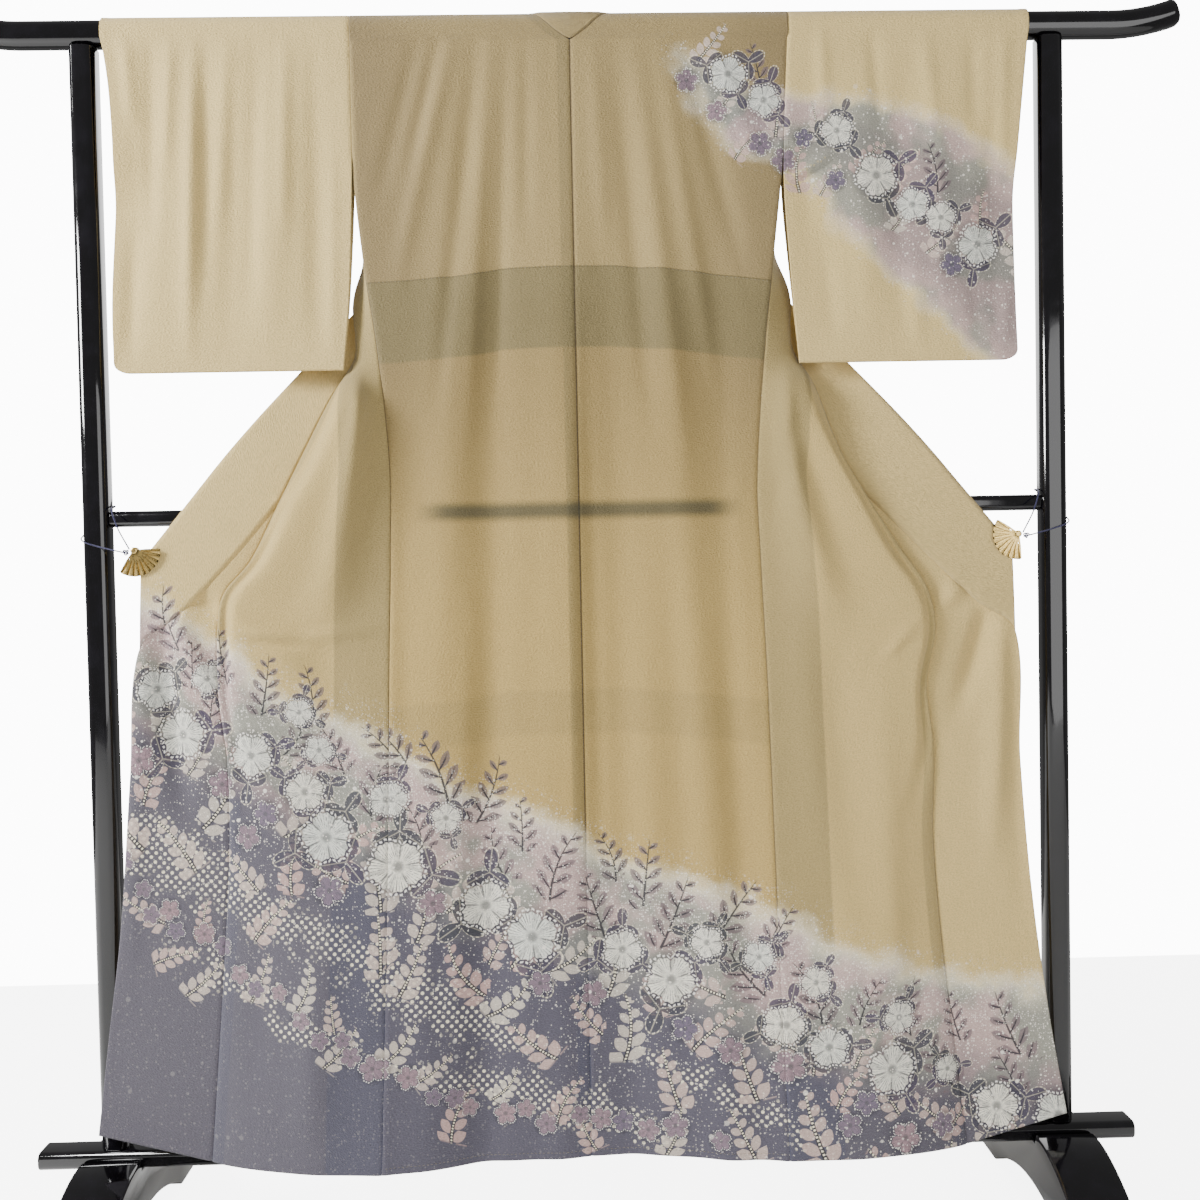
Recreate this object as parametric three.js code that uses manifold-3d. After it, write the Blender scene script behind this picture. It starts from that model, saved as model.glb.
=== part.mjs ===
// Unlined silk kimono hung on a black lacquered kimono stand, back to the front.
// Millimetres. X to the wearer's right, Y to the wearer's front, Z up, floor at 0.
import * as THREE from 'three';
import * as BufferGeometryUtils from 'three/addons/utils/BufferGeometryUtils.js';
import Module from 'manifold-3d';

// ---------- driving dimensions ----------
const CLOTH = 1.5;            // wall of one layer of crepe
const COLLAR_CLOTH = 2.4;     // wall of the folded collar
const SEAM_GAP = 0.9;         // how far a sewn edge is held back from the seam line
const FOLDED_SEAM_GAP = 4;    // the same where collar and panel meet folded sharply
const SEAT_GAP = 0.3;         // gap between touching pieces of the stand

const ROD = { z: 1694, size: 36, round: 15, half: 855, bend: 95, rise: 16 };
const POST = { x: 675, size: 36, round: 12 };
const RAIL = { z: 1022, size: 22, round: 8 };
const PLANK = { bottom: 107, height: 25, half: 779, depth: 45, round: 9 };
const FOOT = { width: 85, half: 210, tip: 34, pad: 62, arch: 44, top: 120, notch: 13 };

const WRAP = 21.4;            // radius of the cloth's middle surface over the rod
const NECK_RUN = 53;          // depth of the neck cut each way from the top of the rod
const NECK_HALF = 103;        // half width of the neck at its front corners
const HEM_Z = 115;
const HEM_RUN = 1680;         // length of the front edge of the body panel, shoulder to hem
const SEAM_TOP = 1312;        // the side seam starts here; the body is open above it
const SLEEVE_JOIN = 1510;     // the sleeve is sewn to the body above this height
const CUFF_JOIN = 1480;       // the cuff is sewn shut below this height
const TIP_RUN = 740;          // where the overlap panel's tip meets the collar
const COLLAR_END_RUN = 1000;  // where the collar's lower seam reaches the front edge

// ---------- tables: a row for each section ----------
// Side edge of each body panel, by height.
const SIDE_LEFT = [
  { z: 1700, x: 304, y: -21.4 }, { z: 1510, x: 304, y: -21 }, { z: 1380, x: 293, y: -22 },
  { z: 1263, x: 277, y: -22 }, { z: 1096, x: 262, y: -25 }, { z: 960, x: 263, y: -29 },
  { z: 830, x: 267, y: -34 }, { z: 540, x: 274, y: -50 }, { z: 115, x: 288, y: -78 },
];
const SIDE_RIGHT = [
  { z: 1700, x: 304, y: -21.4 }, { z: 1510, x: 294, y: -21 }, { z: 1390, x: 281, y: -22 },
  { z: 1254, x: 265, y: -22 }, { z: 1060, x: 250, y: -25 }, { z: 960, x: 252, y: -29 },
  { z: 780, x: 258, y: -36 }, { z: 450, x: 265, y: -52 }, { z: 115, x: 274, y: -72 },
];

// Front edge of the body panel where it hangs behind the back, the same on both sides.
// run: along the edge; x, y, z: place; peak, slack, turn: how the panel's spare width
// bulges (0 = to the rear, 90 = outward, 180 = to the front); valley: trough beside the seam.
const FRONT_HIDDEN = [
  { run: 53, x: 103, y: 22.6, z: 1673, peak: 0.5, slack: 4, turn: 0, valley: 0, soft: 0 },
  { run: 150, x: 162, y: 12, z: 1595, peak: 0.5, slack: 38, turn: 0, valley: 0, soft: 0 },
  { run: 250, x: 211, y: 7, z: 1506, peak: 0.5, slack: 58, turn: 0, valley: 0, soft: 0 },
  { run: 350, x: 246, y: 9, z: 1406, peak: 0.5, slack: 54, turn: 20, valley: 0, soft: 0 },
  { run: 430, x: 277, y: 13, z: 1325, peak: 0.5, slack: 36, turn: 65, valley: 0, soft: 0 },
  { run: 475, x: 290, y: 16, z: 1279, peak: 0.5, slack: 25, turn: 90, valley: 0, soft: 0 },
  { run: 520, x: 311, y: 14, z: 1238, peak: 0.45, slack: 17, turn: 120, valley: 0, soft: 0 },
];
const FRONT_LEFT = [
  { run: 575, x: 343, y: 1, z: 1190, peak: 0.38, slack: 32, turn: 172, valley: 3, soft: 8 },
  { run: 675, x: 387, y: -13, z: 1101, peak: 0.31, slack: 30, turn: 180, valley: 3, soft: 12 },
  { run: 740, x: 415, y: -18, z: 1043, peak: 0.22, slack: 30, turn: 180, valley: 2, soft: 12 },
  { run: 832, x: 456, y: -24, z: 960, peak: 0.16, slack: 28, turn: 180, valley: 5, soft: 9 },
  { run: 893, x: 495, y: -28, z: 912, peak: 0.12, slack: 20, turn: 180, valley: 4, soft: 4 },
  { run: 950, x: 504, y: -30, z: 855, peak: 0.13, slack: 16, turn: 180, valley: 5, soft: -4 },
  { run: 1033, x: 505, y: -30, z: 773, peak: 0.12, slack: 12, turn: 180, valley: 4, soft: 0 },
  { run: 1124, x: 496, y: -31, z: 684, peak: 0.2, slack: 9, turn: 180, valley: 2, soft: 2 },
  { run: 1250, x: 496, y: -33, z: 558, peak: 0.35, slack: 10, turn: 180, valley: 0, soft: 3 },
  { run: 1433, x: 508, y: -38, z: 375, peak: 0.4, slack: 12, turn: 180, valley: 0, soft: 3 },
  { run: 1680, x: 528, y: -44, z: 126, peak: 0.4, slack: 14, turn: 180, valley: 0, soft: 2 },
];
const FRONT_RIGHT = [
  { run: 575, x: 338, y: 1, z: 1187, peak: 0.3, slack: 32, turn: 172, valley: 2, soft: 6 },
  { run: 675, x: 367, y: -12, z: 1102, peak: 0.14, slack: 26, turn: 180, valley: 2, soft: 16 },
  { run: 740, x: 398, y: -17, z: 1044, peak: 0.13, slack: 26, turn: 180, valley: 2, soft: 18 },
  { run: 832, x: 448, y: -24, z: 962, peak: 0.14, slack: 24, turn: 180, valley: 4, soft: 16 },
  { run: 893, x: 484, y: -27, z: 907, peak: 0.11, slack: 20, turn: 180, valley: 3, soft: 8 },
  { run: 950, x: 496, y: -29, z: 850, peak: 0.09, slack: 15, turn: 180, valley: 3, soft: 2 },
  { run: 1033, x: 483, y: -29, z: 771, peak: 0.09, slack: 12, turn: 180, valley: 3, soft: 0 },
  { run: 1124, x: 493, y: -30, z: 680, peak: 0.16, slack: 9, turn: 180, valley: 2, soft: 2 },
  { run: 1250, x: 490, y: -32, z: 552, peak: 0.35, slack: 10, turn: 180, valley: 0, soft: 3 },
  { run: 1433, x: 503, y: -36, z: 370, peak: 0.4, slack: 12, turn: 180, valley: 0, soft: 3 },
  { run: 1680, x: 529, y: -42, z: 118, peak: 0.4, slack: 14, turn: 180, valley: 0, soft: 2 },
];

// Outer edge of the overlap panel: along the collar's lower seam, then down the front edge.
const EDGE_LEFT = [
  { run: 740, x: 415, y: -18, z: 1043 }, { run: 832, x: 480, y: -26, z: 966 },
  { run: 930, x: 556, y: -31, z: 887 }, { run: 1000, x: 611, y: -33, z: 842 },
  { run: 1180, x: 629, y: -33, z: 662 }, { run: 1390, x: 647, y: -35, z: 455 },
  { run: 1550, x: 668, y: -38, z: 296 }, { run: 1680, x: 684, y: -42, z: 166 },
];
const EDGE_RIGHT = [
  { run: 740, x: 398, y: -17, z: 1044 }, { run: 832, x: 472, y: -26, z: 966 },
  { run: 930, x: 552, y: -31, z: 887 }, { run: 1000, x: 609, y: -33, z: 842 },
  { run: 1180, x: 614, y: -33, z: 662 }, { run: 1390, x: 630, y: -35, z: 455 },
  { run: 1550, x: 651, y: -38, z: 290 }, { run: 1680, x: 672, y: -42, z: 158 },
];

// Folded outer edge of the collar, from the neck to the clip, the same on both sides.
const COLLAR_EDGE = [
  { run: 53, x: 60, y: 25, z: 1642 }, { run: 150, x: 122, y: 32, z: 1563 },
  { run: 250, x: 184, y: 48, z: 1484 }, { run: 350, x: 246, y: 62, z: 1406 },
  { run: 430, x: 298, y: 60, z: 1342 }, { run: 520, x: 352, y: 30, z: 1272 },
  { run: 575, x: 384, y: 8, z: 1230 }, { run: 675, x: 444, y: -13, z: 1160 },
  { run: 740, x: 490, y: -21, z: 1106 }, { run: 832, x: 538, y: -26, z: 1046 },
  { run: 930, x: 583, y: -30, z: 990 }, { run: 1000, x: 606, y: -32, z: 962 },
];

// Soft folds of the back: start and end places, how far forward and how wide.
const BACK_FOLDS = [
  { x0: -150, z0: 1640, x1: -225, z1: 300, forward: 5, width: 42 },
  { x0: -105, z0: 1660, x1: -150, z1: 115, forward: -6, width: 38 },
  { x0: -18, z0: 1560, x1: -40, z1: 115, forward: 5, width: 34 },
  { x0: 45, z0: 1560, x1: 60, z1: 115, forward: -5, width: 36 },
  { x0: 112, z0: 1500, x1: 195, z1: 115, forward: 6, width: 40 },
  { x0: 190, z0: 1640, x1: 235, z1: 500, forward: -4, width: 36 },
];
// Soft folds of the overlap panels, fanning from the clip: end place at the hem side.
const CLIP_FOLDS = [
  { side: -1, x: 505, z: 800, forward: 7, width: 20 },
  { side: -1, x: 575, z: 560, forward: -7, width: 24 },
  { side: -1, x: 640, z: 420, forward: 5, width: 18 },
  { side: 1, x: 505, z: 860, forward: 7, width: 18 },
  { side: 1, x: 535, z: 700, forward: -8, width: 20 },
  { side: 1, x: 590, z: 520, forward: 6, width: 22 },
];
const CLIP_PLACE = { x: 600, z: 955 };

// Sleeves: height, inner edge and cuff edge.
const SLEEVE_LEFT = [
  { z: 1700, inner: 304, cuff: 646 }, { z: 1610, inner: 304, cuff: 635 },
  { z: 1487, inner: 305, cuff: 632 }, { z: 1323, inner: 313, cuff: 640 },
  { z: 1222, inner: 323, cuff: 639 },
];
const SLEEVE_RIGHT = [
  { z: 1700, inner: 304, cuff: 642 }, { z: 1550, inner: 297, cuff: 627 },
  { z: 1470, inner: 295, cuff: 620 }, { z: 1371, inner: 301, cuff: 619 },
  { z: 1222, inner: 313, cuff: 621 },
];
const SLEEVE_FOLDS = [
  { at: 0.1, forward: -3, width: 0.06 }, { at: 0.33, forward: 4, width: 0.07 },
  { at: 0.5, forward: -4, width: 0.06 }, { at: 0.68, forward: 3, width: 0.06 },
  { at: 0.9, forward: -3, width: 0.05 },
];
const SLEEVE_BOTTOM = 1222;
const SLEEVE_BOTTOM_Y = -20.5;
const SLEEVE_PINCH = 0.95;    // half the gap between the layers at the bottom and the cuff
const SLEEVE_CORNER = 14;     // how far the cuff's lower corner is rounded up
const SIDE_SEAM_Y = -22;      // the side of the front panel, pulled to the back by the seam
const HEM_CENTRE_Y = -38;     // the middle of the hem hangs this far from the rod's plane

// ---------- small helpers ----------
const mix = (a, b, t) => a + (b - a) * t;
const bell = (d, w) => Math.exp(-(d * d) / (w * w));
const smooth = (a, b, t) => THREE.MathUtils.smoothstep(t, a, b);

// Smooth value of one column of a table, by its key column.
function column(table, key, name, at) {
  const rising = table[table.length - 1][key] > table[0][key] ? 1 : -1;
  let i = 0;
  while (i < table.length - 2 && rising * (at - table[i + 1][key]) > 0) i += 1;
  const a = table[i];
  const b = table[i + 1];
  const before = table[Math.max(i - 1, 0)];
  const after = table[Math.min(i + 2, table.length - 1)];
  const span = b[key] - a[key];
  const t = THREE.MathUtils.clamp((at - a[key]) / span, 0, 1);
  const slopeA = (b[name] - before[name]) / (b[key] - before[key]) * span;
  const slopeB = (after[name] - a[name]) / (after[key] - a[key]) * span;
  const t2 = t * t;
  const t3 = t2 * t;
  return (2 * t3 - 3 * t2 + 1) * a[name] + (t3 - 2 * t2 + t) * slopeA
    + (3 * t2 - 2 * t3) * b[name] + (t3 - t2) * slopeB;
}

// Place on the rod: x along it, s the cloth's distance from its top, positive to the rear.
function overRod(x, s, radius = WRAP) {
  const quarter = radius * Math.PI / 2;
  const to = Math.sign(s) || 1;
  const far = Math.abs(s);
  if (far > quarter) return new THREE.Vector3(x, to * radius, ROD.z - (far - quarter));
  const angle = far / radius;
  return new THREE.Vector3(x, to * radius * Math.sin(angle), ROD.z + radius * Math.cos(angle));
}

// A closed wall through a grid of places, half its thickness to each side.
function wall(grid, thickness) {
  const rows = grid.length;
  const cols = grid[0].length;
  const positions = [];
  const along = new THREE.Vector3();
  const across = new THREE.Vector3();
  for (const side of [0.5, -0.5]) {
    for (let i = 0; i < rows; i += 1) {
      for (let j = 0; j < cols; j += 1) {
        along.subVectors(grid[Math.min(i + 1, rows - 1)][j], grid[Math.max(i - 1, 0)][j]);
        across.subVectors(grid[i][Math.min(j + 1, cols - 1)], grid[i][Math.max(j - 1, 0)]);
        const normal = along.cross(across).normalize().multiplyScalar(side * thickness);
        positions.push(...grid[i][j].clone().add(normal).toArray());
      }
    }
  }
  const index = [];
  const under = rows * cols;
  const quad = (a, b, c, d) => index.push(a, b, c, a, c, d);
  for (let i = 0; i < rows - 1; i += 1) {
    for (let j = 0; j < cols - 1; j += 1) {
      const a = i * cols + j;
      quad(a, a + cols, a + cols + 1, a + 1);
      quad(under + a, under + a + 1, under + a + cols + 1, under + a + cols);
    }
  }
  const rim = [];
  for (let j = 0; j < cols - 1; j += 1) rim.push(j);
  for (let i = 0; i < rows - 1; i += 1) rim.push(i * cols + cols - 1);
  for (let j = cols - 1; j > 0; j -= 1) rim.push((rows - 1) * cols + j);
  for (let i = rows - 1; i > 0; i -= 1) rim.push(i * cols);
  rim.forEach((a, k) => {
    const b = rim[(k + 1) % rim.length];
    quad(a, b, under + b, under + a);
  });
  const geometry = new THREE.BufferGeometry();
  geometry.setAttribute('position', new THREE.Float32BufferAttribute(positions, 3));
  geometry.setIndex(index);
  return geometry;
}

// Pull the two ends of a row back from the seam lines.
function heldBack(row, first, last) {
  const end = row.length - 1;
  const inward = (from, to, gap) => row[to].clone().sub(row[from]).setLength(gap);
  const a = first ? inward(0, 1, first) : new THREE.Vector3();
  const b = last ? inward(end, end - 1, last) : new THREE.Vector3();
  row[0].add(a);
  row[end].add(b);
  return row;
}

// ---------- body panels ----------
const sideTable = (side) => (side < 0 ? SIDE_LEFT : SIDE_RIGHT);
const frontTable = (side) => [...FRONT_HIDDEN, ...(side < 0 ? FRONT_LEFT : FRONT_RIGHT)];
const edgeTable = (side) => (side < 0 ? EDGE_LEFT : EDGE_RIGHT);
const sideHeight = (run) => mix(1673, HEM_Z, (run - NECK_RUN) / (HEM_RUN - NECK_RUN));
const neckX = (s) => NECK_HALF * ((s + NECK_RUN) / (2 * NECK_RUN)) ** 0.75;

function foldPush(folds, x, z) {
  let push = 0;
  for (const fold of folds) {
    const t = (fold.z0 - z) / (fold.z0 - fold.z1);
    const grow = smooth(-0.05, 0.35, t) * (1 - 0.5 * smooth(0.9, 1.3, t));
    push -= fold.forward * grow * bell(x - mix(fold.x0, fold.x1, t), fold.width);
  }
  return push;
}

function backPoint(side, z, u) {
  const table = sideTable(side);
  const x = side * u * column(table, 'z', 'x', z);
  const sideY = column(table, 'z', 'y', z);
  const centreY = mix(-WRAP, HEM_CENTRE_Y, ((ROD.z - z) / (ROD.z - HEM_Z)) ** 1.3);
  const y = mix(centreY, sideY, u ** 1.6) + foldPush(BACK_FOLDS, x, z) * (1 - u ** 6);
  return new THREE.Vector3(x, y, z);
}

function frontSide(side, run) {
  const z = sideHeight(run);
  const table = sideTable(side);
  const open = mix(SIDE_SEAM_Y, WRAP, smooth(SEAM_TOP, ROD.z - WRAP, z));
  const y = z < SEAM_TOP ? column(table, 'z', 'y', z) : open;
  return new THREE.Vector3(side * column(table, 'z', 'x', z), y, z);
}

function seamPoint(side, run) {
  const table = frontTable(side);
  const value = (name) => column(table, 'run', name, run);
  return new THREE.Vector3(side * value('x'), value('y'), value('z'));
}

// u from 0 at the front edge to 1 at the side.
function frontPoint(side, run, u) {
  const table = frontTable(side);
  const value = (name) => column(table, 'run', name, run);
  const place = seamPoint(side, run).lerp(frontSide(side, run), u);
  const peak = value('peak');
  const turn = THREE.MathUtils.degToRad(value('turn'));
  const bulge = value('slack') * Math.sin(Math.PI * u ** (Math.log(0.5) / Math.log(peak)));
  place.x += side * bulge * Math.sin(turn);
  place.y += bulge * Math.cos(turn);
  place.y += value('valley') * bell(u - peak * 0.4, peak * 0.25);
  place.y -= value('soft') * bell(u - 0.62, 0.14);
  return place;
}

const FRONT_RUNS = [
  ...FRONT_HIDDEN.map((row) => row.run), 575, 623, 675, TIP_RUN, 790, 832, 865, 893, 920, 950,
  COLLAR_END_RUN, 1060, 1124, 1180, 1250, 1340, 1433, 1550, HEM_RUN,
];
const WRAP_RUNS = [-32, -21, -10.5, 0, 10.5, 21, 32];
const BODY_COLUMNS = 8;

// Columns close up around the ridge beside the front seam.
function frontColumns(side, run) {
  const peak = column(frontTable(side), 'run', 'peak', run);
  const near = [0, 0.45 * peak, peak, Math.min(peak + 0.12, 0.62)];
  const rest = BODY_COLUMNS + 1 - near.length;
  const last = near[near.length - 1];
  for (let k = 1; k <= rest; k += 1) near.push(mix(last, 1, k / rest));
  return near;
}

const collarGap = (run) => mix(FOLDED_SEAM_GAP, SEAM_GAP, smooth(520, 675, run));

function bodyGrid(side) {
  const grid = [];
  const even = [...Array(BODY_COLUMNS + 1).keys()].map((k) => k / BODY_COLUMNS);
  for (const run of [...FRONT_RUNS].reverse()) {
    grid.push(even.map((u) => backPoint(side, sideHeight(run), u)));
  }
  for (const s of WRAP_RUNS) {
    const sideX = column(sideTable(side), 'z', 'x', ROD.z);
    grid.push(even.map((u) => overRod(side * mix(neckX(s), sideX, u), s)));
  }
  for (const row of grid) heldBack(row, SEAM_GAP, SEAM_GAP);
  for (const run of FRONT_RUNS) {
    const row = frontColumns(side, run).map((u) => frontPoint(side, run, u));
    grid.push(heldBack(row, collarGap(run), SEAM_GAP));
  }
  return grid;
}

// ---------- overlap panels ----------
function clipPush(side, x, z) {
  let push = 0;
  for (const fold of CLIP_FOLDS) {
    if (fold.side !== side) continue;
    const dx = fold.x - CLIP_PLACE.x;
    const dz = fold.z - CLIP_PLACE.z;
    const long = Math.hypot(dx, dz);
    const px = Math.abs(x) - CLIP_PLACE.x;
    const pz = z - CLIP_PLACE.z;
    const t = (px * dx + pz * dz) / (long * long);
    const off = (px * dz - pz * dx) / long;
    const grow = smooth(0.02, 0.4, t) * (1 - smooth(0.7, 1.25, t));
    push -= fold.forward * grow * bell(off, fold.width);
  }
  return push;
}

const OVERLAP_COLUMNS = 5;
const OVERLAP_RUNS = [TIP_RUN + 22, ...FRONT_RUNS.filter((run) => run > TIP_RUN)];

function overlapGrid(side) {
  return OVERLAP_RUNS.map((run) => {
    const table = edgeTable(side);
    const value = (name) => column(table, 'run', name, run);
    const outer = new THREE.Vector3(side * value('x'), value('y'), value('z'));
    const row = [];
    for (let k = 0; k <= OVERLAP_COLUMNS; k += 1) {
      const u = k / OVERLAP_COLUMNS;
      const place = seamPoint(side, run).lerp(outer, u);
      place.y += clipPush(side, place.x, place.z) * Math.sin(Math.PI * u) ** 0.5;
      row.push(place);
    }
    return heldBack(row, SEAM_GAP, SEAM_GAP);
  });
}

// ---------- collar ----------
const COLLAR_COLUMNS = 3;
const COLLAR_FOLD = 51;       // folded width of the collar at the neck
const COLLAR_WRAP = 24.8;     // radius of the collar over the rod
const COLLAR_NECK_TURN = 58;  // degrees it has turned at the neck's front corners

function collarNeckRow(s) {
  const turn = THREE.MathUtils.degToRad(COLLAR_NECK_TURN * Math.abs(s + NECK_RUN) / (2 * NECK_RUN));
  const x = neckX(s);
  const row = [];
  for (let k = 0; k <= COLLAR_COLUMNS; k += 1) {
    const t = k / COLLAR_COLUMNS;
    const reach = COLLAR_FOLD * t;
    const out = Math.max(x - reach * Math.sin(turn), 0);
    row.push(overRod(out, s + reach * Math.cos(turn), mix(COLLAR_WRAP, COLLAR_WRAP + 1, t)));
  }
  return heldBack(row, SEAM_GAP, 0);
}

function collarFrontRow(side, run) {
  const inner = run <= TIP_RUN
    ? seamPoint(side, run)
    : new THREE.Vector3(
      side * column(edgeTable(side), 'run', 'x', run),
      column(edgeTable(side), 'run', 'y', run),
      column(edgeTable(side), 'run', 'z', run),
    );
  const value = (name) => column(COLLAR_EDGE, 'run', name, run);
  const outer = new THREE.Vector3(side * value('x'), value('y'), value('z'));
  const row = [];
  for (let k = 0; k <= COLLAR_COLUMNS; k += 1) row.push(inner.clone().lerp(outer, k / COLLAR_COLUMNS));
  return heldBack(row, collarGap(run), 0);
}

function collarGrid() {
  const runs = FRONT_RUNS.filter((run) => run <= COLLAR_END_RUN);
  const neck = [-40, ...WRAP_RUNS, 42];
  const flip = (row) => row.map((place) => new THREE.Vector3(-place.x, place.y, place.z));
  return [
    ...[...runs].reverse().map((run) => collarFrontRow(-1, run)),
    ...[...neck].reverse().map((s) => flip(collarNeckRow(s))),
    collarNeckRow(-NECK_RUN),
    ...neck.map((s) => collarNeckRow(s)),
    ...runs.map((run) => collarFrontRow(1, run)),
  ];
}

// ---------- sleeves ----------
const SLEEVE_COLUMNS = 9;
const SLEEVE_HEIGHTS = [SLEEVE_BOTTOM, 1236, 1290, 1365, 1440, SLEEVE_JOIN, 1580, 1650];

function sleeveHang(side, layer, z, u) {
  const table = side < 0 ? SLEEVE_LEFT : SLEEVE_RIGHT;
  const corner = SLEEVE_CORNER * smooth(0.93, 1, u) * (1 - smooth(SLEEVE_BOTTOM, SLEEVE_BOTTOM + 60, z));
  const x = side * mix(column(table, 'z', 'inner', z), column(table, 'z', 'cuff', z), u);
  const up = (z - SLEEVE_BOTTOM) / (ROD.z - SLEEVE_BOTTOM);
  const open = mix(SLEEVE_PINCH, WRAP, up);
  const sewn = smooth(0.78, 1, u) * (1 - smooth(CUFF_JOIN - 40, CUFF_JOIN + 40, z));
  let y = SLEEVE_BOTTOM_Y * (1 - up) + layer * mix(open, SLEEVE_PINCH, sewn);
  for (const fold of SLEEVE_FOLDS) {
    y -= fold.forward * Math.sin(Math.PI * Math.min(up * 1.1, 1)) * bell(u - fold.at, fold.width);
  }
  return new THREE.Vector3(x, y, z + corner);
}

function sleeveGrid(side) {
  const table = side < 0 ? SLEEVE_LEFT : SLEEVE_RIGHT;
  const even = [...Array(SLEEVE_COLUMNS + 1).keys()].map((k) => k / SLEEVE_COLUMNS);
  const grid = [];
  for (const z of SLEEVE_HEIGHTS) grid.push(even.map((u) => sleeveHang(side, -1, z, u)));
  for (const s of WRAP_RUNS) {
    const inner = column(table, 'z', 'inner', ROD.z);
    const cuff = column(table, 'z', 'cuff', ROD.z);
    grid.push(even.map((u) => overRod(side * mix(inner, cuff, u), s)));
  }
  for (const z of [...SLEEVE_HEIGHTS].reverse()) {
    grid.push(even.map((u) => sleeveHang(side, 1, z, u)));
  }
  for (const row of grid) heldBack(row, SEAM_GAP, 0);
  return grid;
}

// ---------- stand ----------
function roundedBar(width, height, round, segments = 3) {
  const x = width / 2;
  const y = height / 2;
  const shape = new THREE.Shape();
  shape.moveTo(-x + round, -y);
  shape.absarc(x - round, -y + round, round, -Math.PI / 2, 0);
  shape.absarc(x - round, y - round, round, 0, Math.PI / 2);
  shape.absarc(-x + round, y - round, round, Math.PI / 2, Math.PI);
  shape.absarc(-x + round, -y + round, round, Math.PI, Math.PI * 1.5);
  shape.closePath();
  return { shape, options: { bevelEnabled: false, curveSegments: segments } };
}

function upright(width, depth, round, bottom, top) {
  const { shape, options } = roundedBar(width, depth, round);
  const geometry = new THREE.ExtrudeGeometry(shape, { ...options, depth: top - bottom });
  return geometry.translate(0, 0, bottom);
}

function lengthwise(depth, height, round, half) {
  const { shape, options } = roundedBar(depth, height, round);
  const geometry = new THREE.ExtrudeGeometry(shape, { ...options, depth: 2 * half });
  return geometry.translate(0, 0, -half).rotateX(Math.PI / 2).rotateZ(Math.PI / 2);
}

function rodGeometry() {
  const { shape, options } = roundedBar(ROD.size, ROD.size, ROD.round, 2);
  const path = new THREE.CurvePath();
  const straight = ROD.half - ROD.bend;
  const at = (x, z) => new THREE.Vector3(x, 0, z);
  path.add(new THREE.QuadraticBezierCurve3(
    at(-ROD.half, ROD.rise), at(-straight - ROD.bend / 2, 0), at(-straight, 0),
  ));
  path.add(new THREE.LineCurve3(at(-straight, 0), at(straight, 0)));
  path.add(new THREE.QuadraticBezierCurve3(
    at(straight, 0), at(straight + ROD.bend / 2, 0), at(ROD.half, ROD.rise),
  ));
  const geometry = new THREE.ExtrudeGeometry(shape, { ...options, steps: 26, extrudePath: path });
  return geometry.translate(0, 0, ROD.z);
}

const wasm = await Module();
wasm.setup();

function toSolid(geometry) {
  const bare = geometry.clone();
  bare.deleteAttribute('normal');
  bare.deleteAttribute('uv');
  const merged = BufferGeometryUtils.mergeVertices(bare, 1e-4);
  return new wasm.Manifold(new wasm.Mesh({
    numProp: 3,
    vertProperties: new Float32Array(merged.attributes.position.array),
    triVerts: new Uint32Array(merged.index.array),
  }));
}

function toGeometry(solid) {
  const mesh = solid.getMesh();
  const geometry = new THREE.BufferGeometry();
  geometry.setAttribute('position', new THREE.BufferAttribute(mesh.vertProperties, 3));
  geometry.setIndex(new THREE.BufferAttribute(mesh.triVerts, 1));
  return geometry;
}

// Side view of a foot: flat pads at both ends, a low arch between them, a crowned top
// with a notch that the plank is let into.
function footGeometry() {
  const shape = new THREE.Shape();
  const notch = PLANK.depth / 2 + SEAT_GAP;
  shape.moveTo(-FOOT.half, 0);
  shape.lineTo(-FOOT.half + FOOT.pad, 0);
  shape.quadraticCurveTo(0, 2 * FOOT.arch, FOOT.half - FOOT.pad, 0);
  shape.lineTo(FOOT.half, 0);
  shape.lineTo(FOOT.half, FOOT.tip);
  shape.bezierCurveTo(FOOT.half * 0.8, FOOT.tip + 34, 95, FOOT.top, notch + 14, FOOT.top);
  shape.lineTo(notch, FOOT.top);
  shape.lineTo(notch, FOOT.top - FOOT.notch - SEAT_GAP);
  shape.lineTo(-notch, FOOT.top - FOOT.notch - SEAT_GAP);
  shape.lineTo(-notch, FOOT.top);
  shape.lineTo(-notch - 14, FOOT.top);
  shape.bezierCurveTo(-95, FOOT.top, -FOOT.half * 0.8, FOOT.tip + 34, -FOOT.half, FOOT.tip);
  shape.closePath();
  const geometry = new THREE.ExtrudeGeometry(
    shape, { depth: FOOT.width, bevelEnabled: false, curveSegments: 8 },
  );
  return geometry.translate(0, 0, -FOOT.width / 2).rotateX(Math.PI / 2).rotateZ(Math.PI / 2);
}

// ---------- fan clips and their cords ----------
const CLIP = { x: 614, z: 977, radius: 36, plate: 2, front: -36.6, rear: -28.4, hub: 6 };
const CLIP_LEFT = { side: -1, from: -123, to: 2 };
const CLIP_RIGHT = { side: 1, from: 146, to: 275 };

function sector(radius, from, to, y0, y1) {
  const shape = new THREE.Shape();
  const a = THREE.MathUtils.degToRad(from);
  const b = THREE.MathUtils.degToRad(to);
  shape.moveTo(0, 0);
  shape.lineTo(radius * Math.cos(a), radius * Math.sin(a));
  shape.absarc(0, 0, radius, a, b);
  shape.closePath();
  const geometry = new THREE.ExtrudeGeometry(
    shape, { depth: y1 - y0, bevelEnabled: false, curveSegments: 10 },
  );
  return geometry.rotateX(Math.PI / 2).translate(0, y1, 0);
}

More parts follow.
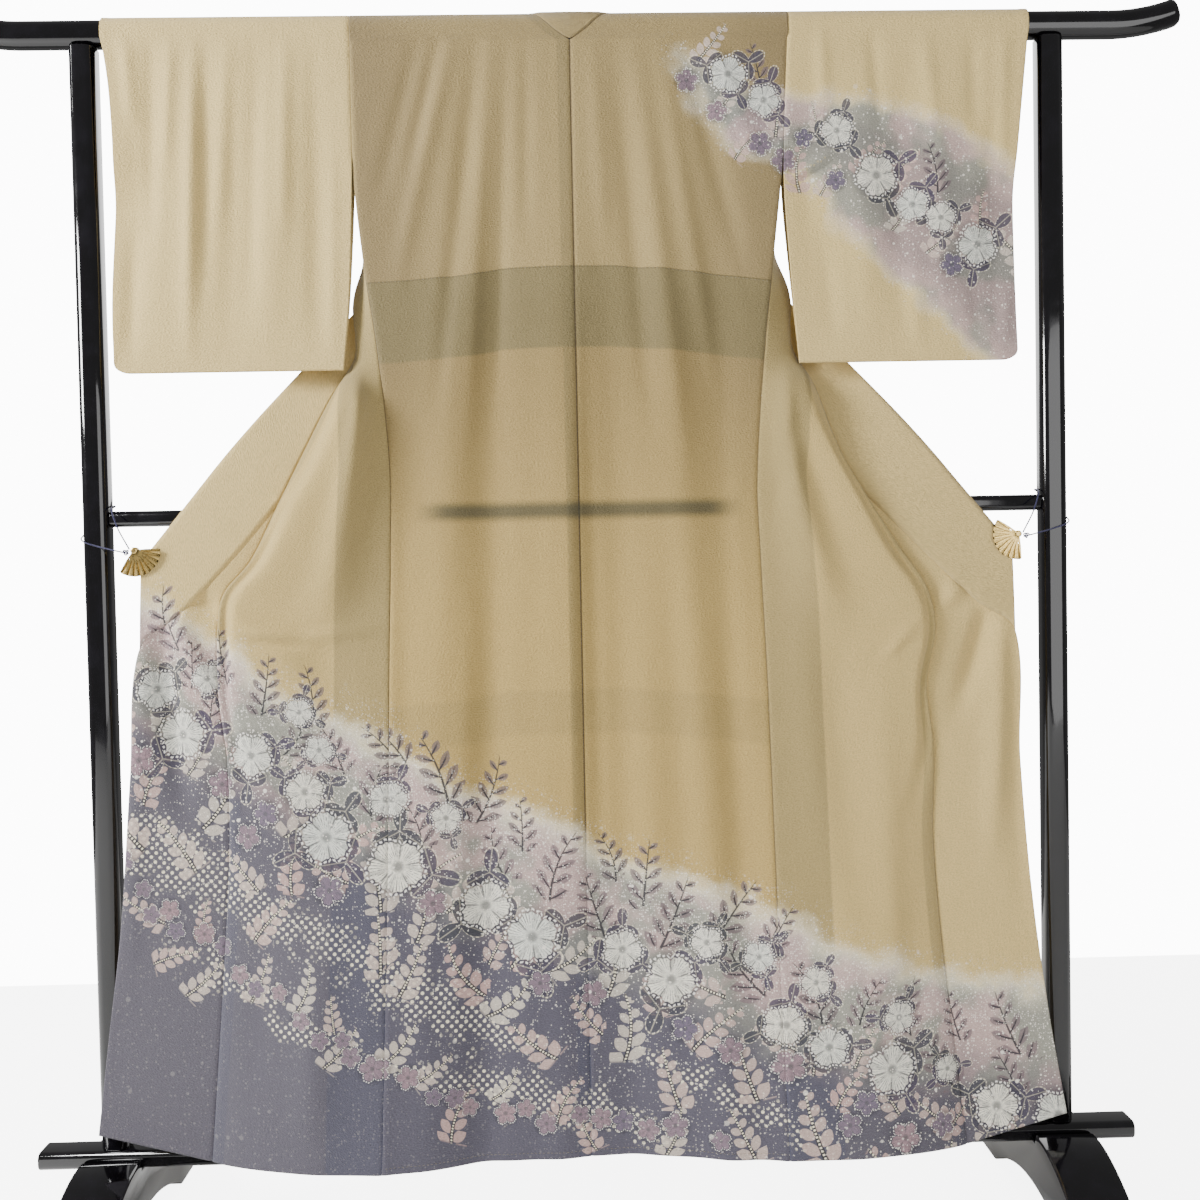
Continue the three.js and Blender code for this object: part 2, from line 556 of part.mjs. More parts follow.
function clipGeometry({ side, from, to }) {
  const rearEnd = CLIP.rear + CLIP.plate;
  const front = toSolid(sector(CLIP.radius, from, to, CLIP.front, CLIP.front + CLIP.plate));
  const back = toSolid(sector(CLIP.radius * 0.62, from, to, CLIP.rear, rearEnd));
  const pin = new THREE.CylinderGeometry(CLIP.hub, CLIP.hub, rearEnd - CLIP.front, 12);
  pin.translate(0, (rearEnd + CLIP.front) / 2, 0);
  const whole = front.add(back).add(toSolid(pin));
  const geometry = toGeometry(whole);
  return geometry.translate(side * CLIP.x, 0, CLIP.z);
}

const CORD = 2;
// Route of one cord, from the clip's pin round the post above the rail and back.
const CORD_ROUTE = [
  [621, -34, 979], [638, -28, 1008], [650, -17, 1034], [655, 0, 1040], [656, 14, 1041],
  [664, 21, 1038], [676, 21.5, 1030], [688, 20, 1019], [695, 12, 1009], [695.5, 0, 1001],
  [695, -12, 995], [687, -20.5, 990], [672, -23, 985], [648, -29, 979], [622, -34.5, 973],
];

function cordGeometry(side) {
  const points = CORD_ROUTE.map(([x, y, z]) => new THREE.Vector3(side * x, y, z));
  const path = new THREE.CatmullRomCurve3(points, false, 'centripetal');
  const shape = new THREE.Shape().absarc(0, 0, CORD / 2, 0, Math.PI * 2);
  return new THREE.ExtrudeGeometry(
    shape, { steps: 34, bevelEnabled: false, curveSegments: 4, extrudePath: path },
  );
}

// ---------- the object ----------
const crepe = { color: 0xb9ab94, roughness: 0.72, metalness: 0 };
const lacquer = { color: 0x0b0a0b, roughness: 0.12, metalness: 0 };
const brass = { color: 0xb38a3c, roughness: 0.32, metalness: 1 };
const braid = { color: 0x463c78, roughness: 0.7, metalness: 0 };

const object = new THREE.Group();
function add(name, geometry, finish, x = 0) {
  const mesh = new THREE.Mesh(geometry, new THREE.MeshStandardMaterial(finish));
  mesh.name = name;
  mesh.position.x = x;
  object.add(mesh);
}
const outward = (geometry) => {
  const solid = toSolid(geometry);
  if (solid.volume() > 0) return geometry;
  const index = geometry.index.array;
  for (let i = 0; i < index.length; i += 3) [index[i], index[i + 1]] = [index[i + 1], index[i]];
  return geometry;
};

for (const [side, name] of [[-1, 'left'], [1, 'right']]) {
  add(`body_${name}`, outward(wall(bodyGrid(side), CLOTH)), crepe);
  add(`sleeve_${name}`, outward(wall(sleeveGrid(side), CLOTH)), crepe);
  add(`overlap_${name}`, outward(wall(overlapGrid(side), CLOTH)), crepe);
}
add('collar', outward(wall(collarGrid(), COLLAR_CLOTH)), crepe);

add('stand_rod', rodGeometry(), lacquer);
add('stand_rail', lengthwise(RAIL.size, RAIL.size, RAIL.round,
  POST.x - POST.size / 2 - SEAT_GAP).translate(0, 0, RAIL.z), lacquer);
add('stand_plank', lengthwise(PLANK.depth, PLANK.height, PLANK.round, PLANK.half)
  .translate(0, 0, PLANK.bottom + PLANK.height / 2), lacquer);
for (const [side, name] of [[-1, 'left'], [1, 'right']]) {
  add(`stand_post_${name}`, upright(POST.size, POST.size, POST.round,
    PLANK.bottom + PLANK.height + SEAT_GAP, ROD.z - ROD.size / 2 - SEAT_GAP),
  lacquer, side * POST.x);
  add(`stand_foot_${name}`, footGeometry(), lacquer, side * POST.x);
  add(`fan_clip_${name}`, clipGeometry(side < 0 ? CLIP_LEFT : CLIP_RIGHT), brass);
  add(`clip_cord_${name}`, cordGeometry(side), braid);
}

export default object;
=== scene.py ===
"""Unlined silk kimono, spread back to the front on a black lacquered kimono stand.

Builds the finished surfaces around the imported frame: crepe panels with a graded, resist-dyed skirt,
stitches, folding-fan clips with their cords, and the lacquered stand.
"""

import math

import bmesh
import bpy
import numpy as np
from mathutils import Matrix, Vector


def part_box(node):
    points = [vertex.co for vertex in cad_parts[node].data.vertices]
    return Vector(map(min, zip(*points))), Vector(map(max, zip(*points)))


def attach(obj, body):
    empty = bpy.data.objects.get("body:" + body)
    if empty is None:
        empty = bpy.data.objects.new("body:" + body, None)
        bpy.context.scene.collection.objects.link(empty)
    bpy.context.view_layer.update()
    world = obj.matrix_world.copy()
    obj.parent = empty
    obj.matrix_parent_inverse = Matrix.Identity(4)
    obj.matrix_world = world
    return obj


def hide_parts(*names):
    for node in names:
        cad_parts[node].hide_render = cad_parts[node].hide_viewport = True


bl_info = {
    "name": "Kimono on a lacquered stand",
    "version": (1, 0, 0),
    "blender": (4, 5, 0),
    "location": "View3D > Sidebar > Kimono",
    "description": "Makes a hung silk kimono, its clips and its stand around a loaded frame",
    "category": "Object",
}

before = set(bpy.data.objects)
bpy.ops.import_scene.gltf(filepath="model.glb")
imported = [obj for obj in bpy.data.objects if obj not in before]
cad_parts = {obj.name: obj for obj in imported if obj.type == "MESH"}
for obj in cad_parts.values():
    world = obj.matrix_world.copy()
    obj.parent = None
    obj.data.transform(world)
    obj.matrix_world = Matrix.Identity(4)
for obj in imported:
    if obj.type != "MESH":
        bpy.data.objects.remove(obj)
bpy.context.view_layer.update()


# ---------- sizes taken from the frame, in millimetres ----------
def box_mm(node):
    """Lowest and highest corner of a frame node, in millimetres."""
    low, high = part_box(node)
    return np.array(low) * 1000, np.array(high) * 1000


ROD_LOW, _ = box_mm("stand_rod")
POST_LOW, POST_HIGH = box_mm("stand_post_right")
RAIL_LOW, RAIL_HIGH = box_mm("stand_rail")
PLANK_LOW, PLANK_HIGH = box_mm("stand_plank")
FOOT_LOW, FOOT_HIGH = box_mm("stand_foot_right")
CLIP_LOW, CLIP_HIGH = box_mm("fan_clip_right")

ROD_SIZE = 36.0
ROD_Z = ROD_LOW[2] + ROD_SIZE / 2
ROD_HALF, ROD_BEND, ROD_RISE, ROD_ROUND = 855.0, 95.0, 16.0, 15.0
POST_X = (POST_LOW[0] + POST_HIGH[0]) / 2
POST_SIZE, POST_ROUND = POST_HIGH[0] - POST_LOW[0], 12.0
RAIL_Z = (RAIL_LOW[2] + RAIL_HIGH[2]) / 2
RAIL_SIZE, RAIL_ROUND = RAIL_HIGH[2] - RAIL_LOW[2], 8.0
PLANK_ROUND = 9.0

# ---------- the garment's cut, in millimetres ----------
WRAP = 21.4             # radius of the cloth over the rod
NECK_RUN = 53.0         # depth of the neck cut each way from the top of the rod
NECK_HALF = 103.0       # half width of the neck at its front corners
HEM_Z = 115.0
HEM_RUN = 1680.0        # shoulder to hem along the front edge of the body panel
SEAM_TOP = 1312.0       # the side seam starts here
SHOULDER_Z = 1673.0     # where the cloth leaves the rod
TIP_RUN = 740.0         # the overlap panel's tip
COLLAR_END_RUN = 1000.0
SLEEVE_BOTTOM, SLEEVE_BOTTOM_Y, SLEEVE_PINCH, SLEEVE_CORNER = 1222.0, -20.5, 0.95, 14.0
CUFF_JOIN = 1480.0
SIDE_SEAM_Y, HEM_CENTRE_Y = -22.0, -38.0
COLLAR_FOLD, COLLAR_WRAP, COLLAR_NECK_TURN = 51.0, 22.9, 58.0
CLIP_X, CLIP_Z = 614.0, 977.0
CLIP_FOLD_X, CLIP_FOLD_Z = 600.0, 955.0
COLLAR_HOLD = 3.6       # how far the collar's seam stands clear of the front edge at the neck
COLLAR_SEWN = (380, 450)  # the runs between which the two edges close up
VALLEY_GAIN, FRONT_CREASE_GAIN, SLEEVE_CREASE_GAIN = 2.2, 1.9, 2.1
PLAIN_ABOVE = 1240.0    # the hidden fronts carry no motifs above this height
FAR_OFF = 5000.0        # a place in the pattern's plan where nothing is drawn


def table(names, *rows):
    """A short table: its columns by name, with one row for each section."""
    return dict(zip(names.split(), np.array(rows, float).T))


def joined(first, second):
    """Two tables with the same columns, one under the other."""
    return {name: np.concatenate([first[name], second[name]]) for name in first}


SIDE = {
    -1: table(
        "z x y",
        (1700, 304, -21.4), (1510, 304, -21), (1380, 293, -22), (1263, 277, -22), (1096, 262, -25),
        (960, 263, -29), (830, 267, -34), (540, 274, -50), (115, 288, -78),
    ),
    1: table(
        "z x y",
        (1700, 304, -21.4), (1510, 294, -21), (1390, 281, -22), (1254, 265, -22), (1060, 250, -25),
        (960, 252, -29), (780, 258, -36), (450, 265, -52), (115, 274, -72),
    ),
}
# Front edge of the body panel. peak, slack, turn: how its spare width bulges (0 degrees = to the
# rear, 180 = to the front); valley: trough beside the seam; soft: second, softer ridge.
FRONT_NAMES = "run x y z peak slack turn valley soft"
FRONT_HIDDEN = table(
    FRONT_NAMES,
    (53, 103, 22.6, 1673, 0.5, 4, 0, 0, 0), (150, 162, 12, 1595, 0.5, 38, 0, 0, 0),
    (250, 211, 7, 1506, 0.5, 58, 0, 0, 0), (350, 246, 9, 1406, 0.5, 54, 20, 0, 0),
    (430, 277, 13, 1325, 0.5, 36, 65, 0, 0), (475, 290, 16, 1279, 0.5, 25, 90, 0, 0),
    (520, 311, 14, 1238, 0.45, 17, 120, 0, 0),
)
FRONT = {
    -1: joined(FRONT_HIDDEN, table(
        FRONT_NAMES,
        (575, 343, 1, 1190, 0.38, 32, 172, 3, 8), (675, 387, -13, 1101, 0.31, 30, 180, 3, 12),
        (740, 415, -18, 1043, 0.22, 30, 180, 2, 12), (832, 456, -24, 960, 0.16, 28, 180, 5, 9),
        (893, 495, -28, 912, 0.12, 20, 180, 4, 4), (950, 504, -30, 855, 0.13, 16, 180, 5, -4),
        (1033, 505, -30, 773, 0.12, 12, 180, 4, 0), (1124, 496, -31, 684, 0.2, 9, 180, 2, 2),
        (1250, 496, -33, 558, 0.35, 10, 180, 0, 3), (1433, 508, -38, 375, 0.4, 12, 180, 0, 3),
        (1680, 528, -44, 126, 0.4, 14, 180, 0, 2),
    )),
    1: joined(FRONT_HIDDEN, table(
        FRONT_NAMES,
        (575, 338, 1, 1187, 0.3, 32, 172, 2, 6), (675, 367, -12, 1102, 0.14, 26, 180, 2, 16),
        (740, 398, -17, 1044, 0.13, 26, 180, 2, 18), (832, 448, -24, 962, 0.14, 24, 180, 4, 16),
        (893, 484, -27, 907, 0.11, 20, 180, 3, 8), (950, 496, -29, 850, 0.09, 15, 180, 3, 2),
        (1033, 483, -29, 771, 0.09, 12, 180, 3, 0), (1124, 493, -30, 680, 0.16, 9, 180, 2, 2),
        (1250, 490, -32, 552, 0.35, 10, 180, 0, 3), (1433, 503, -36, 370, 0.4, 12, 180, 0, 3),
        (1680, 529, -42, 118, 0.4, 14, 180, 0, 2),
    )),
}
# Outer edge of the overlap panel: along the collar's lower seam, then down the front edge.
EDGE = {
    -1: table(
        "run x y z",
        (740, 415, -18, 1043), (832, 480, -26, 966), (930, 556, -31, 887), (1000, 611, -33, 842),
        (1180, 629, -33, 662), (1390, 647, -35, 455), (1550, 668, -38, 296), (1680, 684, -42, 166),
    ),
    1: table(
        "run x y z",
        (740, 398, -17, 1044), (832, 472, -26, 966), (930, 552, -31, 887), (1000, 609, -33, 842),
        (1180, 614, -33, 662), (1390, 630, -35, 455), (1550, 651, -38, 290), (1680, 672, -42, 158),
    ),
}
COLLAR_EDGE = table(
    "run x y z",
    (53, 60, 25, 1642), (150, 122, 32, 1563), (250, 184, 48, 1484), (350, 246, 62, 1406),
    (430, 298, 60, 1342), (520, 352, 30, 1272), (575, 384, 8, 1230), (675, 444, -13, 1160),
    (740, 490, -21, 1106), (832, 538, -26, 1046), (930, 583, -30, 990), (1000, 606, -32, 962),
)
SLEEVE = {
    -1: table(
        "z inner cuff",
        (1700, 304, 646), (1610, 304, 635), (1487, 305, 632), (1323, 313, 640), (1222, 323, 639),
    ),
    1: table(
        "z inner cuff",
        (1700, 304, 642), (1550, 297, 627), (1470, 295, 620), (1371, 301, 619), (1222, 313, 621),
    ),
}

# Soft folds and creases: start and end places, how far forward (+) or back (-), how wide.
FOLD_NAMES = "x0 z0 x1 z1 forward width"
BACK_FOLDS = table(
    FOLD_NAMES,
    (-150, 1640, -225, 300, 7, 36), (-105, 1660, -150, 115, -8, 32), (-18, 1560, -40, 115, 6, 30),
    (45, 1560, 60, 115, -6, 32), (112, 1500, 195, 115, 8, 34), (190, 1640, 235, 500, -6, 30),
)
BACK_CREASES = table(
    FOLD_NAMES,
    (-124, 1696, -196, 1160, -5.2, 13), (-160, 1696, -250, 1330, 4.6, 12), (-112, 1696, -152, 1130, 3.6, 12),
    (-86, 1696, -112, 1180, -2.6, 9), (-60, 1696, -66, 1400, -2.4, 9), (-176, 1696, -226, 1500, -3.4, 9),
    (-205, 1696, -272, 1450, -3.6, 11), (62, 1690, 104, 1130, -4.6, 15), (88, 1690, 150, 1080, 4.2, 15),
    (118, 1696, 196, 1180, 3.2, 12), (150, 1696, 246, 1320, -4.6, 14), (186, 1696, 262, 1500, 3.0, 10),
    (30, 1680, 44, 1380, 2.4, 11), (-12, 1250, -16, 420, 2.6, 11), (14, 1300, 22, 300, -3.0, 12),
    (-245, 1150, -252, 600, -3.2, 14), (-140, 1000, -196, 330, 4.0, 20),
    (-180, 700, -214, 250, -4.2, 20), (120, 1120, 150, 420, -3.8, 22), (222, 1180, 236, 640, 4.6, 18),
    (205, 900, 222, 330, -4.4, 22), (82, 900, 100, 240, 3.4, 24), (-60, 760, -88, 200, 3.2, 24),
)
FRONT_CREASES = table(
    FOLD_NAMES,
    (-478, 866, -390, 852, 2.6, 7), (-400, 852, -272, 862, 2.2, 8), (-478, 853, -385, 840, -2.0, 8),
    (-520, 905, -380, 800, 1.6, 22), (-470, 800, -420, 560, 1.8, 24), (-330, 850, -372, 420, -2.2, 30),
    (-290, 760, -300, 260, 1.8, 22), (-440, 560, -470, 200, -1.8, 26), (-372, 420, -392, 150, 2.0, 26),
    (300, 1000, 318, 560, 2.0, 24), (352, 880, 372, 420, -2.2, 26), (420, 820, 428, 330, 2.0, 22),
    (330, 560, 346, 170, -1.8, 24), (455, 560, 466, 190, -1.8, 22), (395, 420, 402, 150, 1.6, 20),
    (478, 870, 420, 806, 2.2, 9), (300, 1150, 276, 1010, -1.8, 12),
)
SLEEVE_CREASES = table(
    FOLD_NAMES,
    (-612, 1700, -604, 1560, 1.6, 9), (-575, 1700, -584, 1400, -1.7, 10),
    (-548, 1700, -560, 1490, 1.5, 8), (-516, 1700, -536, 1250, 2.0, 9), (-500, 1700, -512, 1330, -1.8, 10),
    (-470, 1700, -488, 1420, 1.4, 9), (-430, 1690, -452, 1300, -1.6, 12), (-392, 1700, -400, 1400, 1.6, 10),
    (-352, 1690, -362, 1260, -1.4, 12), (-330, 1560, -338, 1240, 1.2, 9), (-610, 1420, -618, 1240, -1.4, 10),
    (306, 1480, 366, 1512, 2.4, 5), (308, 1473, 366, 1504, -1.8, 5), (350, 1700, 352, 1580, 1.3, 9),
    (420, 1700, 432, 1540, -1.4, 10), (492, 1700, 510, 1500, 1.5, 12), (560, 1690, 566, 1540, -1.3, 11),
    (606, 1700, 600, 1480, 1.3, 9), (350, 1420, 362, 1250, -1.4, 13), (470, 1400, 480, 1240, 1.4, 14),
    (560, 1380, 566, 1240, -1.3, 12), (606, 1330, 604, 1240, 1.2, 8),
)
CLIP_FOLDS = {
    -1: table(
        "x z forward width",
        (480, 872, -6, 15), (512, 780, 11, 15), (560, 640, -11, 18), (640, 420, 6, 15),
    ),
    1: table(
        "x z forward width",
        (500, 880, 9, 14), (530, 740, -11, 16), (575, 560, 9, 18), (618, 480, -6, 16),
    ),
}
SLEEVE_FOLDS = table(
    "at forward width",
    (0.1, -3, 0.06), (0.33, 4, 0.07), (0.5, -4, 0.06), (0.68, 3, 0.06), (0.9, -3, 0.05),
)

# ---------- dyed ground, in millimetres ----------
# Upper edge of the dyed skirt, and the middle and half width of the patch over the right shoulder.
SKIRT_EDGE = table(
    "x z",
    (-700, 990), (-593, 905), (-480, 832), (-375, 768), (-248, 690), (-130, 618), (-8, 560),
    (175, 492), (273, 440), (372, 398), (500, 366), (700, 338),
)
PATCH = table(
    "x z half",
    (150, 1650, 8), (190, 1606, 26), (245, 1560, 36), (315, 1538, 42), (390, 1515, 78),
    (470, 1462, 98), (545, 1400, 104), (640, 1320, 112),
)
TUCK_LINE = table(
    "x z", (-300, 1341), (-242, 1343), (-145, 1350), (-103, 1359), (50, 1361), (147, 1353), (231, 1343),
    (300, 1334),
)
TUCK_DEPTH = 112.0
# Streaks of tied-resist dots: middle line and half width.
DOT_STREAKS = [
    table("x z half", (-690, 610, 20), (-600, 560, 44), (-470, 490, 40), (-350, 405, 12)),
    table("x z half", (-410, 476, 8), (-300, 400, 36), (-190, 330, 38), (-70, 258, 10)),
    table("x z half", (-260, 266, 8), (-110, 212, 30), (20, 176, 30), (130, 138, 8)),
    table("x z half", (-600, 440, 6), (-500, 380, 22), (-400, 320, 22), (-290, 262, 6)),
    table("x z half", (60, 270, 5), (150, 225, 17), (250, 176, 18), (340, 140, 6)),
]
# Garlands: the line that big, small and bud-like blossoms follow.
GARLAND = table(
    "x z", (-660, 800), (-560, 728), (-470, 690), (-392, 612), (-300, 560), (-205, 520), (-120, 452),
    (-20, 418), (70, 400), (150, 338), (235, 296), (330, 262), (430, 196), (520, 188), (640, 150),
)
LOWER_GARLAND = table(
    "x z", (-670, 560), (-585, 470), (-490, 395), (-410, 352), (-300, 262), (-205, 215), (-90, 182),
    (60, 150), (200, 140),
)
SLEEVE_GARLAND = table(
    "x z", (176, 1652), (232, 1600), (300, 1560), (372, 1528), (440, 1494), (505, 1446), (560, 1398),
    (606, 1352),
)


# ---------- colours ----------
def linear(code):
    """An sRGB hex colour as linear red, green and blue."""
    channels = [int(code[i:i + 2], 16) / 255 for i in (0, 2, 4)]
    return [c / 12.92 if c <= 0.04045 else ((c + 0.055) / 1.055) ** 2.4 for c in channels]


def colour(name, description, code):
    """A colour property with an sRGB hex default."""
    return bpy.props.FloatVectorProperty(
        name=name, description=description, subtype="COLOR", size=3, min=0, max=1, default=linear(code)
    )


class KimonoCloth(bpy.types.PropertyGroup):
    """Sizes and colours of the garment."""

    step: bpy.props.FloatProperty(
        name="Grid step", description="Spacing of the cloth's rows and columns", default=0.005,
        min=0.004, max=0.02, unit="LENGTH",
    )
    thickness: bpy.props.FloatProperty(
        name="Cloth thickness", description="Thickness of one layer of crepe", default=0.0008,
        min=0.0003, max=0.002, unit="LENGTH",
    )
    seam_dip: bpy.props.FloatProperty(
        name="Seam dip", description="How far sewn edges sink into their seam", default=0.0014,
        min=0, max=0.004, unit="LENGTH",
    )
    silk: colour("Silk", "Ground of the doubled parts", "d9bf80")
    # silk_single is painted light shining through one layer; doubled is painted shade where two layers let
    # less light through
    silk_single: colour("Single silk", "Ground where one layer lets light through", "b3985a")
    doubled: colour("Doubled silk", "Tuck and seam allowances", "786c48")
    mist: colour("Mist", "Pale edge of the dyed skirt", "f4ebce")
    blush: colour("Blush", "Pink part of the gradation", "bca3a0")
    ash: colour("Ash", "Grey part of the gradation", "8e9088")
    slate: colour("Slate", "Deep end of the gradation", "42455c")
    ink: colour("Ink", "Drawn outlines and twigs", "2a2830")


class KimonoFittings(bpy.types.PropertyGroup):
    """Sizes and colours of the clips, cords and stand."""

    sticks: bpy.props.IntProperty(
        name="Fan sticks", description="Sticks in each folding-fan clip", default=10, min=5, max=16
    )
    cord: bpy.props.FloatProperty(
        name="Cord diameter", description="Diameter of the clip cords", default=0.002,
        min=0.001, max=0.004, unit="LENGTH",
    )
    stitch: bpy.props.FloatProperty(
        name="Stitch length", description="Length of a running stitch", default=0.0026,
        min=0.001, max=0.006, unit="LENGTH",
    )
    stitch_gap: bpy.props.FloatProperty(
        name="Stitch spacing", description="From one stitch to the next", default=0.0056,
        min=0.002, max=0.02, unit="LENGTH",
    )
    brass: colour("Brass", "Fan clips", "e0c27a")
    braid: colour("Braid", "Clip cords", "120e48")
    lacquer: colour("Lacquer", "Stand", "060507")
    thread: colour("Thread", "Sewing thread", "8d8468")


# ---------- numbers and tables ----------
def smooth(low, high, value):
    """0 below low, 1 above high, and a smooth rise between."""
    t = np.clip((np.asarray(value, float) - low) / (high - low), 0, 1)
    return t * t * (3 - 2 * t)


def bell(distance, width):
    """A soft bump, 1 at the middle."""
    return np.exp(-((np.asarray(distance, float) / width) ** 2))


def mix(a, b, t):
    """A value the share t of the way from a to b."""
    return a + (b - a) * t


def column(rows, key, name, at):
    """Smooth value of one column of a table, by its key column."""
    keys, values = rows[key], rows[name]
    if keys[0] > keys[-1]:
        keys, values = keys[::-1], values[::-1]
    at = np.asarray(at, float)
    i = np.clip(np.searchsorted(keys, at) - 1, 0, len(keys) - 2)
    before, after = np.maximum(i - 1, 0), np.minimum(i + 2, len(keys) - 1)
    span = keys[i + 1] - keys[i]
    t = np.clip((at - keys[i]) / span, 0, 1)
    slope_a = (values[i + 1] - values[before]) / (keys[i + 1] - keys[before]) * span
    slope_b = (values[after] - values[i]) / (keys[after] - keys[i]) * span
    t2, t3 = t * t, t * t * t
    return (
        (2 * t3 - 3 * t2 + 1) * values[i] + (t3 - 2 * t2 + t) * slope_a
        + (3 * t2 - 2 * t3) * values[i + 1] + (t3 - t2) * slope_b
    )


def spaced(first, last, step):
    """Even places from first to last, about step apart."""
    return np.linspace(first, last, max(int(abs(last - first) / step), 2) + 1)


def edged(count, width):
    """Shares from 0 to 1 across a width, closer together near both edges."""
    near = np.array([0, 1.4, 3.2, 6.0]) / width
    return np.concatenate([near, np.linspace(near[-1], 1 - near[-1], count)[1:-1], 1 - near[::-1]])


def beside(x, z, x0, z0, x1, z1):
    """Share of the way from one place to another, and distance off to the side of that way."""
    dx, dz = x1 - x0, z1 - z0
    long = math.hypot(dx, dz)
    return ((x - x0) * dx + (z - z0) * dz) / long**2, ((x - x0) * dz - (z - z0) * dx) / long


def creases(rows, x, z):
    """How far forward a table of folds pushes the cloth at x, z."""
    push = np.zeros(np.broadcast(x, z).shape)
    for x0, z0, x1, z1, forward, width in zip(*rows.values()):
        t, off = beside(x, z, x0, z0, x1, z1)
        ends = smooth(-0.12, 0.42, t) * (1 - smooth(0.72, 1.12, t))
        push += forward * ends * bell(off, width)
    return push


def near_line(line, x, z):
    """Distance from the nearest point of a line of places, and how far along it that is."""
    best, along = np.full(np.shape(x), 1e9), np.zeros(np.shape(x))
    count = len(line["x"]) - 1
    for k in range(count):
        ax, az, bx, bz = line["x"][k], line["z"][k], line["x"][k + 1], line["z"][k + 1]
        t = np.clip(((x - ax) * (bx - ax) + (z - az) * (bz - az)) / ((bx - ax)**2 + (bz - az)**2), 0, 1)
        far = np.hypot(x - mix(ax, bx, t), z - mix(az, bz, t))
        closer = far < best
        best, along = np.where(closer, far, best), np.where(closer, k + t, along)
    return best, along


def inside_band(line, x, z):
    """How far inside a band with its own half widths a place is, negative outside."""
    far, along = near_line(line, x, z)
    return np.interp(along, np.arange(len(line["half"])), line["half"]) - far


# ---------- the cloth's form ----------
def side_height(run):
    """Height at the side seam of the row that starts at this run down the front edge."""
    return mix(SHOULDER_Z, HEM_Z, (run - NECK_RUN) / (HEM_RUN - NECK_RUN))


def neck_x(s):
    """Half width of the neck cut, s behind the top of the rod."""
    return NECK_HALF * (np.clip(s + NECK_RUN, 0, None) / (2 * NECK_RUN)) ** 0.75


def places(x, y, z):
    """Three arrays as one array of places."""
    return np.stack(np.broadcast_arrays(x, y, z), axis=-1).astype(float)


def over_rod(x, s, radius=WRAP):
    """Place on the rod: x along it, s the cloth's distance from its top, positive to the rear."""
    quarter = radius * math.pi / 2
    past = np.clip(np.abs(s) - quarter, 0, None)
    angle = np.clip(np.abs(s), None, quarter) / radius
    return places(x, np.sign(s) * radius * np.sin(angle), ROD_Z + radius * np.cos(angle) - past)


def broad_folds(rows, x, z):
    """Long folds that open downwards and soften towards the hem."""
    push = np.zeros(np.broadcast(x, z).shape)
    for x0, z0, x1, z1, forward, width in zip(*rows.values()):
        t = (z0 - z) / (z0 - z1)
        grow = smooth(-0.05, 0.35, t) * (1 - 0.5 * smooth(0.9, 1.3, t))
        push -= forward * grow * bell(x - mix(x0, x1, t), width)
    return push


def back_points(side, z, u):
    """Places on one back panel, u from 0 at the centre seam to 1 at the side seam."""
    x = side * u * column(SIDE[side], "z", "x", z)
    centre = mix(-WRAP, HEM_CENTRE_Y, (np.clip(ROD_Z - z, 0, None) / (ROD_Z - HEM_Z)) ** 1.3)
    y = mix(centre, column(SIDE[side], "z", "y", z), u**1.6)
    free = 1 - u**6
    y = y + broad_folds(BACK_FOLDS, x, z) * free - creases(BACK_CREASES, x, z) * free
    # the gathered stitches pucker the cloth in uneven ripples about 35 mm apart
    off_tuck = z - np.interp(x, TUCK_LINE["x"], TUCK_LINE["z"])
    pucker = np.sin(x / 5.5 + 2 * np.sin(x / 17)) * (0.5 + 0.5 * np.sin(x / 41))
    y = y + 0.55 * pucker * bell(off_tuck + 3, 9) * free
    return places(x, y, z)


def front_sides(side, run):
    """Side edge of a front panel: on the side seam, then open above it."""
    z = side_height(run)
    open_y = mix(SIDE_SEAM_Y, WRAP, smooth(SEAM_TOP, ROD_Z - WRAP, z))
    y = np.where(z < SEAM_TOP, column(SIDE[side], "z", "y", z), open_y)
    return places(side * column(SIDE[side], "z", "x", z), y, z)


def seam_points(side, run):
    """Front edge of a body panel, where the collar and then the overlap panel are sewn on."""
    value = {name: column(FRONT[side], "run", name, run) for name in "xyz"}
    return places(side * value["x"], value["y"], value["z"])


def front_points(side, run, u):
    """u from 0 at the front edge to 1 at the side."""
    value = {name: column(FRONT[side], "run", name, run) for name in FRONT_NAMES.split()[4:]}
    start, end = seam_points(side, run), front_sides(side, run)
    place = start + (end - start) * u[..., None]
    turn = np.radians(value["turn"])
    share = np.clip(u, 0, 1) ** (math.log(0.5) / np.log(value["peak"]))
    bulge = value["slack"] * np.sin(math.pi * share)
    place[..., 0] += side * bulge * np.sin(turn)
    place[..., 1] += bulge * np.cos(turn)
    place[..., 1] += VALLEY_GAIN * value["valley"] * bell(u - value["peak"] * 0.4, value["peak"] * 0.25)
    place[..., 1] -= value["soft"] * bell(u - 0.62, 0.14)
    shown = smooth(560, 640, run)
    middle = np.sin(math.pi * np.clip(u, 0, 1)) ** 0.6
    push = creases(FRONT_CREASES, place[..., 0], place[..., 2])
    place[..., 1] -= FRONT_CREASE_GAIN * shown * middle * push
    return place


def clip_push(side, x, z):
    """How far the folds that fan out from a clip push the overlap panel."""
    push = np.zeros(np.shape(x))
    for fold_x, fold_z, forward, width in zip(*CLIP_FOLDS[side].values()):
        t, off = beside(np.abs(x), z, CLIP_FOLD_X, CLIP_FOLD_Z, fold_x, fold_z)
        push -= forward * smooth(0.02, 0.4, t) * (1 - smooth(0.7, 1.25, t)) * bell(off, width)
    return push


def held_back(grid, first, last):
    """Pulls the first and last column back from their seam lines."""
    for end, step, gap in ((0, 1, first), (-1, -2, last)):
        inward = grid[:, step] - grid[:, end]
        grid[:, end] += inward / np.linalg.norm(inward, axis=-1, keepdims=True) * gap
    return grid


